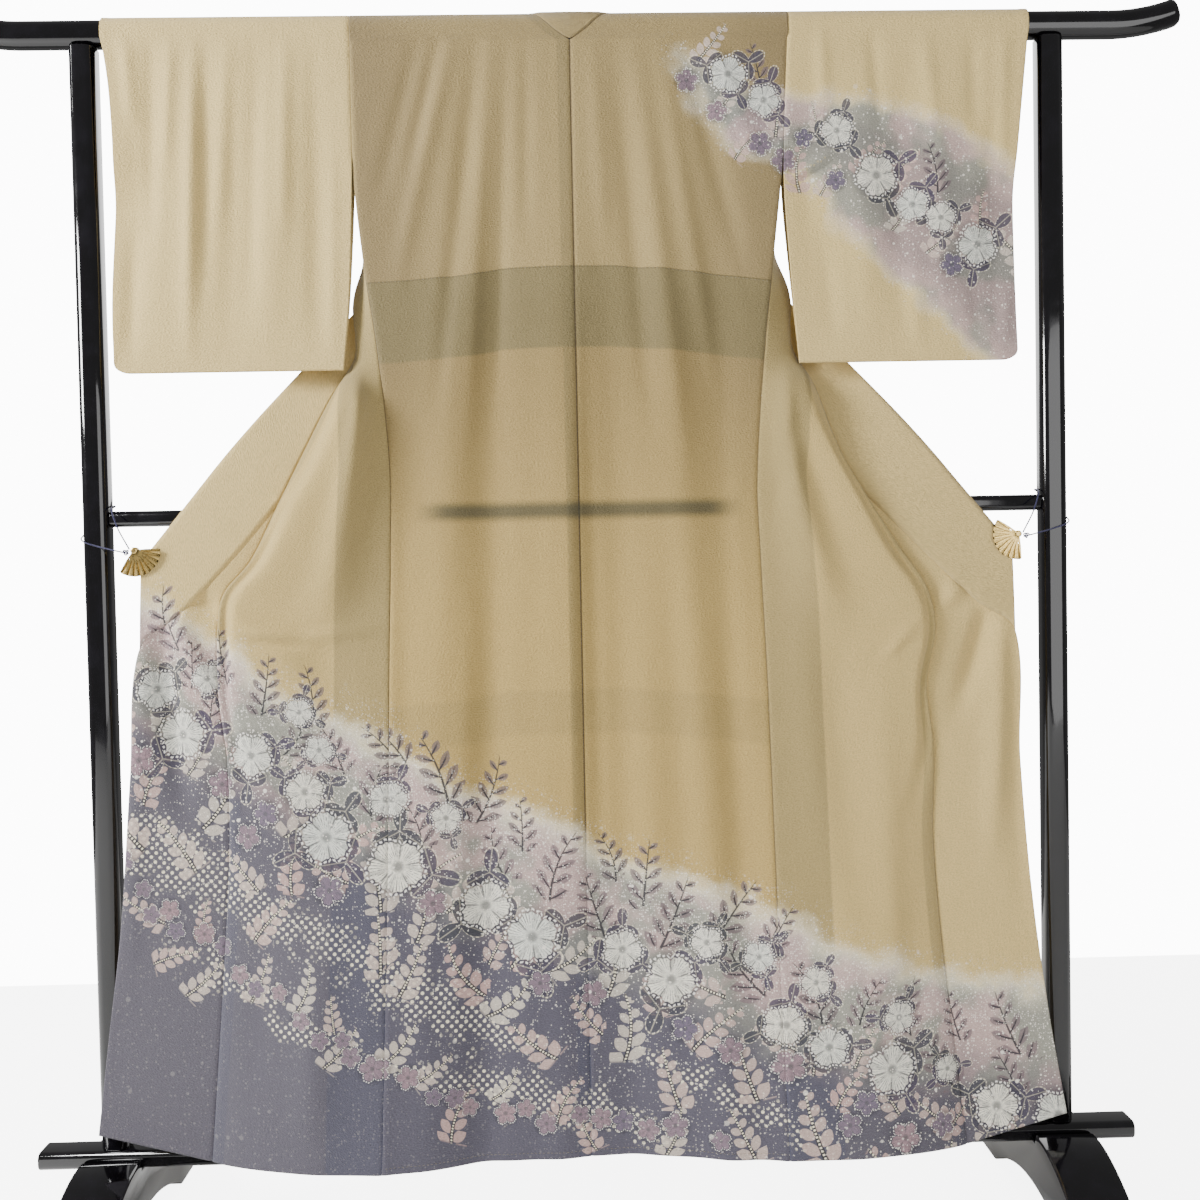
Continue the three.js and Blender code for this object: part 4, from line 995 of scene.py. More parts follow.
def spray_masks(tree):
    """Upright sprays: paired leaves on a beaded stem, or thin leaves on a dark twig."""
    _, _, x, y, kind, tint, drawn = split_motif(tree, "spray")
    bend = add(tree, "Math MULTIPLY", add(tree, "Math SUBTRACT", tint, 0.5), 0.5)
    bent = add(tree, "Math SUBTRACT", x, add(tree, "Math MULTIPLY", add(tree, "Math MULTIPLY", y, y), bend))
    twig = add(tree, "Math MINIMUM", kind, 1.0)
    off = add(tree, "Math ABSOLUTE", bent)
    shift = add(tree, "Math MULTIPLY", add(tree, "Math SIGN", bent), 0.12)
    at = add(tree, "Math DIVIDE", add(tree, "Math ADD", y, shift), SPRAY_STEP)
    rise = add(tree, "Math MULTIPLY", add(tree, "Math FRACT", at), SPRAY_STEP)
    long = add(tree, "MapRange", y, -1.0, 1.0, 0.78, 0.2)
    long = add(tree, "Math MULTIPLY", long, add(tree, "MapRange", twig, 0.0, 1.0, 1.0, 1.3))
    reach = add(tree, "Math MULTIPLY_ADD", rise, 0.52, add(tree, "Math MULTIPLY", off, 0.85))
    aside = add(tree, "Math SUBTRACT", add(tree, "Math MULTIPLY", off, 0.52),
                add(tree, "Math MULTIPLY", rise, 0.85))
    curve = add(tree, "Math MULTIPLY", add(tree, "Math MULTIPLY", reach, reach), 0.34)
    aside = add(tree, "Math ABSOLUTE", add(tree, "Math ADD", add(tree, "Math ADD", aside, 0.03), curve))
    share = add(tree, "Math DIVIDE", reach, long)
    half = add(tree, "MapRange", share, 0.08, 1.0, 0.0, math.pi)
    broad = add(tree, "MapRange", twig, 0.0, 1.0, 0.17, 0.14)
    broad = add(tree, "Math MULTIPLY", broad, add(tree, "MapRange", y, -1.0, 1.0, 1.15, 0.55))
    blunt = add(tree, "MapRange", twig, 0.0, 1.0, 0.5, 0.75)
    width = add(tree, "Math MULTIPLY", add(tree, "Math POWER", add(tree, "Math SINE", half), blunt), broad)
    leaf = add(tree, "Math SUBTRACT", width, aside)
    leaf = add(tree, "MapRange", leaf, 0.0, 0.025, 0.0, 1.0, settings=SMOOTH)
    within = add(tree, "MapRange", add(tree, "Math ABSOLUTE", y), 0.9, 0.98, 1.0, 0.0)
    within = add(tree, "Math MULTIPLY", within, drawn)
    leaf = add(tree, "Math MULTIPLY", leaf, within)
    vein = add(tree, "MapRange", aside, 0.012, 0.03, 1.0, 0.0)
    vein = add(tree, "Math MULTIPLY", vein, add(tree, "MapRange", share, 0.5, 0.85, 1.0, 0.0))
    vein = add(tree, "Math MULTIPLY", vein, twig)
    girth = add(tree, "Math MULTIPLY", add(tree, "MapRange", y, -1.0, 1.0, 0.085, 0.035),
                add(tree, "MapRange", twig, 0.0, 1.0, 1.0, 0.55))
    stem = add(tree, "MapRange", add(tree, "Math SUBTRACT", girth, off), 0.0, 0.02, 0.0, 1.0)
    ink = add(tree, "Math MULTIPLY", add(tree, "Math MAXIMUM", stem, vein), within)
    bead = add(tree, "Math SUBTRACT", add(tree, "Math FRACT", add(tree, "Math MULTIPLY", y, 11.0)), 0.5)
    bead = add(tree, "Math ABSOLUTE", bead)
    bead = add(tree, "Math MULTIPLY", add(tree, "MapRange", bead, 0.2, 0.32, 1.0, 0.0),
               add(tree, "MapRange", off, 0.018, 0.036, 1.0, 0.0))
    bead = add(tree, "Math MULTIPLY", bead, add(tree, "Math SUBTRACT", within, twig))
    return leaf, ink, bead, tint, twig


def over(tree, under, top, share):
    """Colour top laid over colour under."""
    return add(tree, "Mix", share, under, top, settings=COLOURS)


# Sprinkled specks: cells per metre, size in cells, strength, and the share of cells that has one.
# The finest have no share of their own: it follows the distance from the misty edge.
SPECKS = ((330.0, 0.42, 0.75, None), (150.0, 0.3, 0.8, 0.26), (48.0, 0.2, 0.9, 0.1))
# colour of the painted shade on the back, higher up and below the rod
SHADED_SILK = linear("7d6c4a")


def silk_crepe(cloth):
    """Chirimen silk crepe, dyed by hand: matt, pebbled by its twisted weft, with a faint sheen.

    Painted light: one layer is coloured yellower as if lit through; tuck and seam allowances greyer, as
    shade where two layers let less through.
    """
    material, tree, output = new_material("chirimen_silk_crepe")
    cut = add(tree, "Attribute", settings={"attribute_name": "cut"}).outputs["Vector"]
    plan = add(tree, "Attribute", settings={"attribute_name": "plan"}).outputs["Vector"]
    read = []
    for name in ("layers", "edges", "dye"):
        vector = add(tree, "Attribute", settings={"attribute_name": name}).outputs["Vector"]
        read += add(tree, "SeparateXYZ", vector).outputs
    tuck, from_side, from_centre, from_front, warm, _, depth, patch, streak = read
    place = add(tree, "SeparateXYZ", add(tree, "TexCoord").outputs["Object"])
    # painted light: the single-layer colour, by its share, where light shines through one layer
    ground = over(tree, cloth.silk, cloth.silk_single, warm)
    from_centre_far = add(tree, "Math ABSOLUTE", from_centre)

    # painted shade: the back is coloured darker and greyer higher up than lower down, most towards its side
    # seams
    on_back = add(tree, "MapRange", from_centre_far, 0.3, 0.32, 1.0, 0.0)
    back_shade = add(tree, "MapRange", place.outputs["Z"], 0.84, 1.3, 0.0, 0.66, settings=SMOOTH)
    side_shade = add(tree, "MapRange", from_centre_far, 0.12, 0.3, 0.85, 1.3, settings=SMOOTH)
    back_shade = add(tree, "Math MULTIPLY", add(tree, "Math MULTIPLY", back_shade, side_shade), on_back)
    ground = over(tree, ground, SHADED_SILK, back_shade)

    # painted shade: the back darkens further just below the rod
    rod_shade = add(tree, "MapRange", place.outputs["Z"], 1.5, 1.7, 0.0, 0.16, settings=SMOOTH)
    rod_shade = add(tree, "Math MULTIPLY", rod_shade, on_back)
    ground = over(tree, ground, SHADED_SILK, rod_shade)

    # doubled cloth: the waist tuck, side and centre allowances, the strip beside the front seam; its darker
    # colour is painted shade where two layers let less light through
    depth_m = TUCK_DEPTH / 1000
    in_tuck = add(tree, "Math MULTIPLY", add(tree, "MapRange", tuck, -0.0005, 0.0005, 0.0, 1.0),
                  add(tree, "MapRange", tuck, depth_m - 0.002, depth_m + 0.002, 1.0, 0.0))
    ground = over(tree, ground, cloth.doubled, add(tree, "Math MULTIPLY", in_tuck, 0.84))
    low_band = add(tree, "Math MULTIPLY", add(tree, "MapRange", tuck, 0.585, 0.592, 0.0, 1.0),
                   add(tree, "MapRange", tuck, 0.645, 0.655, 1.0, 0.0))
    ground = over(tree, ground, cloth.doubled, add(tree, "Math MULTIPLY", low_band, 0.2))
    stitched = add(tree, "MapRange", add(tree, "Math ABSOLUTE", tuck), 0.0005, 0.0014, 0.6, 0.0)
    ground = over(tree, ground, linear("55492e"), stitched)
    side_band = add(tree, "MapRange", from_side, 0.076, 0.079, 0.5, 0.0)
    ground = over(tree, ground, cloth.doubled, side_band)
    centre_band = add(tree, "Math ABSOLUTE", add(tree, "Math ADD", from_centre, 0.009))
    centre_band = add(tree, "MapRange", centre_band, 0.0085, 0.0105, 0.42, 0.0)
    ground = over(tree, ground, cloth.doubled, centre_band)
    front_band = add(tree, "MapRange", from_front, 0.019, 0.0215, 0.36, 0.0)
    ground = over(tree, ground, cloth.doubled, front_band)

    # sewn seams read as thin brown lines
    seams = [add(tree, "MapRange", add(tree, "Math ABSOLUTE", far), 0.001, 0.0021, 0.84, 0.0)
             for far in (from_side, from_centre, from_front)]
    seam = add(tree, "Math MAXIMUM", add(tree, "Math MAXIMUM", seams[0], seams[1]), seams[2])
    ground = over(tree, ground, linear("54452c"), seam)

    # painted shadow: the stand's rail lies close behind the single layer, and its shadow through the cloth
    # is painted as a soft dark bar
    rail = add(tree, "Math ABSOLUTE", add(tree, "Math SUBTRACT", place.outputs["Z"], RAIL_Z / 1000))
    rail = add(tree, "MapRange", rail, 0.003, 0.019, 0.86, 0.0, settings=SMOOTH)
    rail_shadow_end = add(tree, "MapRange", add(tree, "Math ABSOLUTE", place.outputs["X"]), 0.18, 0.238, 1.0, 0.0,
                   settings=SMOOTH)
    rail = add(tree, "Math MULTIPLY", add(tree, "Math MULTIPLY", rail, rail_shadow_end), on_back)
    ground = over(tree, ground, linear("4a4733"), rail)

    # graded dye: blotches of pink and grey between the misty edge and the slate end
    cloud = add(tree, "TexNoise", Vector=plan, Scale=9.0, Detail=3.0, settings=FLAT_NOISE)
    fine = add(tree, "TexNoise", Vector=plan, Scale=34.0, Detail=4.0, settings=FLAT_NOISE)
    wobble = add(tree, "Math MULTIPLY_ADD", add(tree, "Math SUBTRACT", cloud, 0.5), 0.07,
                 add(tree, "Math MULTIPLY", add(tree, "Math SUBTRACT", fine, 0.5), 0.03))
    deep = add(tree, "Math ADD", depth, wobble)
    mist = add(tree, "MapRange", deep, -0.02, 0.02, 0.0, 0.92, settings=SMOOTH)
    pink = add(tree, "MapRange", cloud, 0.44, 0.58, 0.0, 1.0, settings=SMOOTH)
    middle = over(tree, cloth.ash, cloth.blush, pink)
    coloured = add(tree, "MapRange", deep, -0.01, 0.04, 0.0, 1.0, settings=SMOOTH)
    skirt = over(tree, cloth.mist, middle, coloured)
    darkened = add(tree, "MapRange", deep, 0.08, 0.2, 0.0, 1.0, settings=SMOOTH)
    skirt = over(tree, skirt, cloth.slate, darkened)
    ground = over(tree, ground, skirt, mist)
    patch_deep = add(tree, "Math MULTIPLY_ADD", wobble, 0.8, patch)
    patch_tone = over(tree, cloth.mist, middle,
                      add(tree, "MapRange", patch_deep, -0.018, 0.014, 0.0, 1.0, settings=SMOOTH))
    patch_core = add(tree, "MapRange", patch_deep, 0.012, 0.05, 0.0, 0.42, settings=SMOOTH)
    patch_tone = over(tree, patch_tone, cloth.slate, patch_core)
    ground = over(tree, ground, patch_tone,
                  add(tree, "MapRange", patch_deep, -0.022, 0.014, 0.0, 0.9, settings=SMOOTH))

    # tied-resist dots in diagonal streaks: round, in rows 9 mm apart
    turned = add(tree, "Mapping", Vector=plan, Rotation=(0, 0, math.radians(52)), Scale=(112, 112, 112))
    cell = add(tree, "SeparateXYZ", add(tree, "VectorMath SUBTRACT",
                                        add(tree, "VectorMath FRACTION", turned), (0.5, 0.5, 0.5)))
    round_ = add(tree, "VectorMath LENGTH", add(tree, "CombineXYZ", cell.outputs[0], cell.outputs[1], 0.0))
    dot = add(tree, "MapRange", round_.outputs["Value"], 0.22, 0.32, 0.95, 0.0)
    ragged = add(tree, "Math MULTIPLY_ADD", add(tree, "Math SUBTRACT", fine, 0.5), 0.12, streak)
    dot = add(tree, "Math MULTIPLY", dot, add(tree, "MapRange", ragged, 0.0, 0.014, 0.0, 1.0))
    ground = over(tree, ground, cloth.mist, dot)

    # sprays behind, leaves over them, blossoms on top
    leaf, ink, bead, tint, twig = spray_masks(tree)
    pale = over(tree, linear("cfc6b6"), linear("c9a59c"), tint)
    pale = over(tree, pale, over(tree, linear("5f5256"), linear("806c70"), tint), twig)
    ground = over(tree, ground, pale, add(tree, "Math MULTIPLY", leaf, 0.78))
    ground = over(tree, ground, cloth.ink, add(tree, "Math MULTIPLY", ink, 0.92))
    ground = over(tree, ground, cloth.mist, bead)
    fill, vein, rim, tint = leaf_masks(tree)
    dark = over(tree, linear("3e4046"), linear("4a4256"), tint)
    ground = over(tree, ground, dark, add(tree, "Math MULTIPLY", fill, 0.88))
    ground = over(tree, ground, cloth.mist, add(tree, "Math MULTIPLY", vein, 0.55))
    ground = over(tree, ground, cloth.mist, rim)
    fill, lines, rim, shade, small, tint = bloom_masks(tree)
    ground = over(tree, ground, cloth.ink, add(tree, "Math MULTIPLY", shade, 0.62))
    petals = over(tree, linear("efe9d8"), linear("d9dbd2"), tint)
    bud = over(tree, linear("6a6076"), linear("a08288"), tint)
    ground = over(tree, ground, over(tree, petals, bud, small), fill)
    ground = over(tree, ground, linear("4a4c4c"), add(tree, "Math MULTIPLY", lines, 0.85))
    ground = over(tree, ground, linear("efebe4"), rim)

    # sprinkled resist: fine grains thickest at the misty edge, larger specks further in
    near_edge = add(tree, "MapRange", add(tree, "Math ABSOLUTE", add(tree, "Math SUBTRACT", depth, 0.03)),
                    0.02, 0.12, 0.62, 0.2)
    in_skirt = add(tree, "MapRange", add(tree, "Math ADD", depth, wobble), -0.045, 0.015, 0.0, 1.0)
    in_patch = add(tree, "MapRange", patch, -0.03, 0.01, 0.0, 1.0)
    thinning = add(tree, "MapRange", depth, 0.16, 0.42, 1.0, 0.12)
    anywhere = add(tree, "Math MAXIMUM", add(tree, "Math MULTIPLY", in_skirt, thinning), in_patch)
    for scale, size, strength, share in SPECKS:
        grain = add(tree, "TexVoronoi", Vector=plan, Scale=scale, settings=FLAT)
        pick = add(tree, "SeparateColor", grain.outputs["Color"])
        kept = add(tree, "Math LESS_THAN", pick, share or near_edge)
        radius = add(tree, "Math MULTIPLY", pick.outputs[1], size)
        speck = add(tree, "MapRange", add(tree, "Math SUBTRACT", radius, grain.outputs["Distance"]),
                    0.0, 0.06, 0.0, strength)
        speck = add(tree, "Math MULTIPLY", add(tree, "Math MULTIPLY", speck, kept), anywhere)
        ground = over(tree, ground, linear("efe9de"), speck)

    # crepe grain: weft pebbles about 1 mm long, drawn three times as coarse so that they show
    grain_at = add(tree, "Mapping", Vector=cut, Scale=(1.0, 1.7, 1.0))
    pebble = add(tree, "TexNoise", Vector=grain_at, Scale=330.0, Detail=2.0, Roughness=0.6)
    streaky = add(tree, "TexNoise", Vector=add(tree, "Mapping", Vector=cut, Scale=(1.0, 0.22, 1.0)),
                  Scale=90.0, Detail=3.0)
    tone = add(tree, "Math MULTIPLY", add(tree, "MapRange", pebble, 0.3, 0.7, 0.8, 1.16),
               add(tree, "MapRange", streaky, 0.3, 0.7, 0.975, 1.02))
    ground = add(tree, "Mix", 1.0, ground, add(tree, "CombineColor", tone, tone, tone), settings=DARKEN)
    inner = add(tree, "Attribute", settings={"attribute_name": "inner"}).outputs["Fac"]
    ground = over(tree, ground, cloth.silk, add(tree, "Math MULTIPLY", inner, 0.34))
    bump = add(tree, "Bump", Height=pebble, Strength=1.0, Distance=0.0019)
    shader = add(tree, "BsdfPrincipled", Base_Color=ground, Roughness=0.72, Sheen_Weight=0.22,
                 Sheen_Roughness=0.45, Specular_IOR_Level=0.3, Normal=bump)
    tree.links.new(shader.outputs[0], output.inputs["Surface"])
    return material


def black_lacquer(fittings):
    """Urushi-style black lacquer on softwood: sprayed and buffed, mirror-like with faint orange peel."""
    material, tree, output = new_material("buffed_black_lacquer")
    place = add(tree, "TexCoord").outputs["Object"]
    peel = add(tree, "TexNoise", Vector=place, Scale=120.0, Detail=2.0)
    dust = add(tree, "TexNoise", Vector=place, Scale=38.0, Detail=5.0)
    dusty = add(tree, "MapRange", dust, 0.45, 0.8, 0.0, 0.5)
    colour_ = over(tree, fittings.lacquer, linear("15131a"), dusty)
    rough = add(tree, "MapRange", dust, 0.3, 0.75, 0.06, 0.15)
    bump = add(tree, "Bump", Height=peel, Strength=0.05, Distance=0.0004)
    shader = add(tree, "BsdfPrincipled", Base_Color=colour_, Roughness=rough, Coat_Weight=0.5,
                 Coat_Roughness=0.04, Normal=bump)
    tree.links.new(shader.outputs[0], output.inputs["Surface"])
    return material


def polished_brass(fittings):
    """Stamped brass with a warm gold wash: browner in patches, and nearly black in every other fold of the
    pleats.
    """
    material, tree, output = new_material("stamped_gold_washed_brass")
    place = add(tree, "TexCoord").outputs["Object"]
    rub = add(tree, "TexNoise", Vector=place, Scale=420.0, Detail=3.0)
    colour_ = over(tree, fittings.brass, linear("9a7a3a"), add(tree, "MapRange", rub, 0.45, 0.7, 0.0, 0.5))
    # every other fold of the leaf is coloured nearly black
    groove = add(tree, "Attribute", settings={"attribute_name": "groove"}).outputs["Fac"]
    groove = add(tree, "MapRange", groove, 0.52, 0.72, 0.0, 0.95)
    colour_ = over(tree, colour_, linear("140d04"), groove)
    rough = add(tree, "MapRange", rub, 0.3, 0.7, 0.22, 0.4)
    shader = add(tree, "BsdfPrincipled", Base_Color=colour_, Metallic=1.0, Roughness=rough)
    tree.links.new(shader.outputs[0], output.inputs["Surface"])
    return material


def spun_cord(name, light, dark):
    """Plied yarn: soft and matt, with painted shade in the grooves between its twisted strands."""
    material, tree, output = new_material(name)
    place = add(tree, "TexCoord").outputs["Object"]
    twist = add(tree, "TexWave", Vector=place, Scale=420.0, Distortion=2.0)
    # painted shade: the dark colour laid in the grooves between the strands
    colour_ = over(tree, light, dark, add(tree, "MapRange", twist, 0.2, 0.8, 0.0, 0.6))
    bump = add(tree, "Bump", Height=twist, Strength=0.5, Distance=0.0003)
    shader = add(tree, "BsdfPrincipled", Base_Color=colour_, Roughness=0.75, Sheen_Weight=0.3, Normal=bump)
    tree.links.new(shader.outputs[0], output.inputs["Surface"])
    return material


# ---------- small meshes ----------
def outward_mesh(name, mesh):
    """A bmesh as an object in the scene, with its faces pointing outwards."""
    bmesh.ops.recalc_face_normals(mesh, faces=mesh.faces)
    data = bpy.data.meshes.new(name)
    mesh.to_mesh(data)
    mesh.free()
    return link_mesh(name, data)


def link_mesh(name, mesh):
    """A mesh as an object in the scene, at the origin."""
    piece = bpy.data.objects.new(name, mesh)
    bpy.context.scene.collection.objects.link(piece)
    return piece


def applied(piece):
    """The piece with its modifiers made part of a plain mesh, at the origin."""
    bpy.context.view_layer.update()
    graph = bpy.context.evaluated_depsgraph_get()
    mesh = bpy.data.meshes.new_from_object(piece.evaluated_get(graph))
    mesh.name = piece.name
    piece.modifiers.clear()
    piece.data = mesh
    return piece


def rounded_section(width, height, radius, steps=6):
    """Outline of a bar's section, with its corners as arcs."""
    points = []
    for k, (cx, cy) in enumerate(((1, -1), (1, 1), (-1, 1), (-1, -1))):
        for a in np.linspace(-math.pi / 2, 0, steps) + k * math.pi / 2:
            points.append((cx * (width / 2 - radius) + radius * math.cos(a),
                           cy * (height / 2 - radius) + radius * math.sin(a)))
    return np.array(points)


def bar(name, section, stations, material, node):
    """A lacquered bar: a section carried through stations of (middle, right, up, scale)."""
    rings = [np.array(c) + s * (section[:, :1] * np.array(r) + section[:, 1:] * np.array(u))
             for c, r, u, s in stations]
    count = len(section)
    points = np.concatenate(rings) / 1000
    mesh = bmesh.new()
    made = [mesh.verts.new(p) for p in points]
    for i in range(len(rings) - 1):
        for j in range(count):
            k = (j + 1) % count
            mesh.faces.new([made[i * count + j], made[i * count + k],
                            made[(i + 1) * count + k], made[(i + 1) * count + j]])
    mesh.faces.new(made[:count][::-1])
    mesh.faces.new(made[-count:])
    piece = outward_mesh(name, mesh)
    piece.data.shade_smooth()
    piece.data.set_sharp_from_angle(angle=math.radians(50))
    piece.data.materials.append(material)
    stand_for(piece, node)


def straight_stations(start, end, right, up, ease=1.6):
    """Stations along a straight bar, with its ends eased over like worn edges."""
    start, end = np.array(start, float), np.array(end, float)
    way = (end - start) / np.linalg.norm(end - start)
    inset = [(0.0, 0.93), (0.3 * ease, 0.965), (ease, 1.0)]
    first = [(start + way * d, right, up, s) for d, s in inset]
    last = [(end - way * d, right, up, s) for d, s in inset[::-1]]
    return first + last


def rod_stations():
    """The top rod: straight in the middle, both ends swept up."""
    straight = ROD_HALF - ROD_BEND
    x = np.concatenate([-np.linspace(ROD_HALF, straight, 14), np.linspace(straight, ROD_HALF, 14)])
    lift = ((np.abs(x) - straight) / ROD_BEND).clip(0) ** 2 * ROD_RISE
    slope = 2 * ((np.abs(x) - straight) / ROD_BEND).clip(0) * ROD_RISE / ROD_BEND * np.sign(x)
    stations = []
    for at, z, tilt in zip(x, lift, slope):
        up = np.array([-tilt, 0, 1]) / math.hypot(1, tilt)
        stations.append((np.array([at, 0, ROD_Z + z]), (0, -1, 0), up, 1.0))
    for end, out in ((0, -1), (-1, 1)):
        middle, right, up, _ = stations[end]
        stations[end] = (middle, right, up, 0.93)
        inner = (middle - np.array([out * 1.6, 0, 0]), right, up, 1.0)
        stations.insert(1 if end == 0 else len(stations) - 1, inner)
    return stations


def foot(side, material):
    """A bridge-shaped foot: flat pads, an arch between them and a crowned, notched top."""
    half, pad, arch, tip = FOOT_HIGH[1], 62.0, 44.0, 34.0
    top, width = FOOT_HIGH[2], FOOT_HIGH[0] - FOOT_LOW[0]
    notch, floor = (PLANK_HIGH[1] - PLANK_LOW[1]) / 2 + 0.3, PLANK_LOW[2] - 0.3
    outline = [(half, tip)]
    t = np.linspace(0, 1, 13)[1:]
    b = [(1 - t)**3, 3 * (1 - t)**2 * t, 3 * (1 - t) * t**2, t**3]
    crown = ((half, tip), (half * 0.8, tip + 34), (95, top), (notch + 14, top))
    outline += list(zip(sum(w * p[0] for w, p in zip(b, crown)), sum(w * p[1] for w, p in zip(b, crown))))
    outline += [(notch, top), (notch, floor)]
    t = np.linspace(0, 0.5, 10)
    under = list(zip(half - pad - 2 * (half - pad) * t, 4 * arch * t * (1 - t)))
    right = outline[::-1] + [(half, 0)] + under
    loop = right + [(-y, z) for y, z in right[-2::-1]]
    mesh = bmesh.new()
    ring = [mesh.verts.new((side * POST_X / 1000 - width / 2000, y / 1000, z / 1000)) for y, z in loop]
    face = mesh.faces.new(ring)
    moved = bmesh.ops.extrude_face_region(mesh, geom=[face])["geom"]
    bmesh.ops.translate(mesh, verts=[v for v in moved if isinstance(v, bmesh.types.BMVert)],
                        vec=(width / 1000, 0, 0))
    bmesh.ops.remove_doubles(mesh, verts=mesh.verts, dist=1e-6)
    piece = outward_mesh(f"stand_foot_lacquered_{NAMES[side]}", mesh)
    piece.data.materials.append(material)
    bevel = piece.modifiers.new("eased edges", "BEVEL")
    bevel.width, bevel.segments, bevel.limit_method = 0.004, 3, "ANGLE"
    bevel.angle_limit = math.radians(40)
    applied(piece)
    piece.data.shade_smooth()
    piece.data.set_sharp_from_angle(angle=math.radians(38))
    stand_for(piece, f"stand_foot_{NAMES[side]}")


# ---------- geometry node trees ----------
def node_tree(name, inputs):
    """A geometry tree with a mesh in and out, and named number inputs."""
    tree = bpy.data.node_groups.new(name, "GeometryNodeTree")
    tree.interface.new_socket("Geometry", in_out="INPUT", socket_type="NodeSocketGeometry")
    for label, (kind, value) in inputs.items():
        made = tree.interface.new_socket(label, in_out="INPUT", socket_type=kind)
        made.default_value = value
    tree.interface.new_socket("Geometry", in_out="OUTPUT", socket_type="NodeSocketGeometry")
    return tree, add(tree, "NodeGroupInput"), add(tree, "NodeGroupOutput")


def finish_tree(tree, result, placed, material):
    """Ends a geometry tree in real meshes with their material."""
    real = add(tree, "GeometryNodeRealizeInstances", Geometry=placed)
    dressed = add(tree, "GeometryNodeSetMaterial", Geometry=real, Material=material)
    tree.links.new(dressed.outputs[0], result.inputs[0])
    return tree


def run_tree(piece, tree, values):
    """Runs a geometry tree on a piece with these inputs, and keeps the plain mesh."""
    modifier = piece.modifiers.new(tree.name, "NODES")
    modifier.node_group = tree
    for item in tree.interface.items_tree:
        if item.item_type == "SOCKET" and item.in_out == "INPUT" and item.name in values:
            modifier[item.identifier] = values[item.name]
    return applied(piece)


def stitch_tree(material):
    """Running stitches along the edges of a guide: short raised threads, a gap between each."""
    tree, given, result = node_tree("Running stitches", {
        "Length": ("NodeSocketFloat", 0.0026), "Spacing": ("NodeSocketFloat", 0.0056),
        "Thickness": ("NodeSocketFloat", 0.00045),
    })
    guide = add(tree, "GeometryNodeMeshToCurve", Mesh=given.outputs["Geometry"])
    points = add(tree, "GeometryNodeResampleCurve", Curve=guide, Length=given.outputs["Spacing"],
                 settings={"mode": "LENGTH"})
    half = add(tree, "Math MULTIPLY", given.outputs["Length"], 0.5)
    ends = [add(tree, "CombineXYZ", add(tree, "Math MULTIPLY", half, sign), 0.0, 0.0)
            for sign in (-1.0, 1.0)]
    crown = add(tree, "CombineXYZ", 0.0, 0.0, given.outputs["Thickness"])
    arc = add(tree, "GeometryNodeCurveQuadraticBezier", Resolution=4, Start=ends[0], Middle=crown,
              End=ends[1])
    ring = add(tree, "GeometryNodeCurvePrimitiveCircle", Resolution=6,
               Radius=add(tree, "Math MULTIPLY", given.outputs["Thickness"], 0.5))
    thread = add(tree, "GeometryNodeCurveToMesh", Curve=arc, Profile_Curve=ring, Fill_Caps=True)
    tangent = add(tree, "GeometryNodeInputTangent")
    turn = add(tree, "FunctionNodeAlignRotationToVector", Vector=tangent, settings={"axis": "X"})
    placed = add(tree, "GeometryNodeInstanceOnPoints", Points=points, Instance=thread, Rotation=turn)
    return finish_tree(tree, result, placed, material)


def stick_tree(material):
    """Fan sticks: copies of one stick turned about the pin, at even angles."""
    tree, given, result = node_tree("Fan sticks", {
        "Count": ("NodeSocketInt", 10), "First angle": ("NodeSocketFloat", 0.0),
        "Last angle": ("NodeSocketFloat", 2.0),
    })
    count = given.outputs["Count"]
    pins = add(tree, "GeometryNodeMeshLine", Count=count, Offset=(0.0, 0.0, 0.0))
    gaps = add(tree, "Math SUBTRACT", count, 1.0)
    share = add(tree, "Math DIVIDE", add(tree, "GeometryNodeInputIndex"), gaps)
    turn = add(tree, "MapRange", share, 0.0, 1.0, given.outputs["First angle"], given.outputs["Last angle"])
    placed = add(tree, "GeometryNodeInstanceOnPoints", Points=pins, Instance=given.outputs["Geometry"],
                 Rotation=add(tree, "CombineXYZ", 0.0, turn, 0.0))
    return finish_tree(tree, result, placed, material)


def guide_line(name, lines):
    """A mesh of edges through lines of places in millimetres."""
    points, edges = [], []
    for line in lines:
        first = len(points)
        points += [tuple(np.array(p) / 1000) for p in line]
        edges += [(k, k + 1) for k in range(first, len(points) - 1)]
    mesh = bpy.data.meshes.new(name)
    mesh.from_pydata(points, edges, [])
    return link_mesh(name, mesh)


# ---------- operators ----------
MATERIALS = {}
CAMERA_PLACE, CAMERA_TURN = (-0.0104, -1.7432, 0.9428), (-0.0217, -0.0274, 0.0196)
SENSOR_WIDTH, CAMERA_LENS = 36.0, 36.86
THREAD_THICKNESS = 0.00042


class KIMONO_OT_camera(bpy.types.Operator):
    """Place the camera square to the kimono's back"""

    bl_idname = "kimono.camera"
    bl_label = "Camera"

    def execute(self, context):
        yaw, pitch, roll = CAMERA_TURN
        turn = Matrix.Rotation(yaw, 3, "Z") @ Matrix.Rotation(pitch, 3, "X") @ Matrix.Rotation(roll, 3, "Y")
        right, ahead, up = (turn.col[k] for k in range(3))
        axes = Matrix((right, up, -ahead)).transposed()
        data = bpy.data.cameras.new("camera")
        data.sensor_width, data.lens = SENSOR_WIDTH, CAMERA_LENS
        camera = bpy.data.objects.new("camera", data)
        camera.matrix_world = Matrix.Translation(CAMERA_PLACE) @ axes.to_4x4()
        context.scene.collection.objects.link(camera)
        context.scene.camera = camera
        return {"FINISHED"}


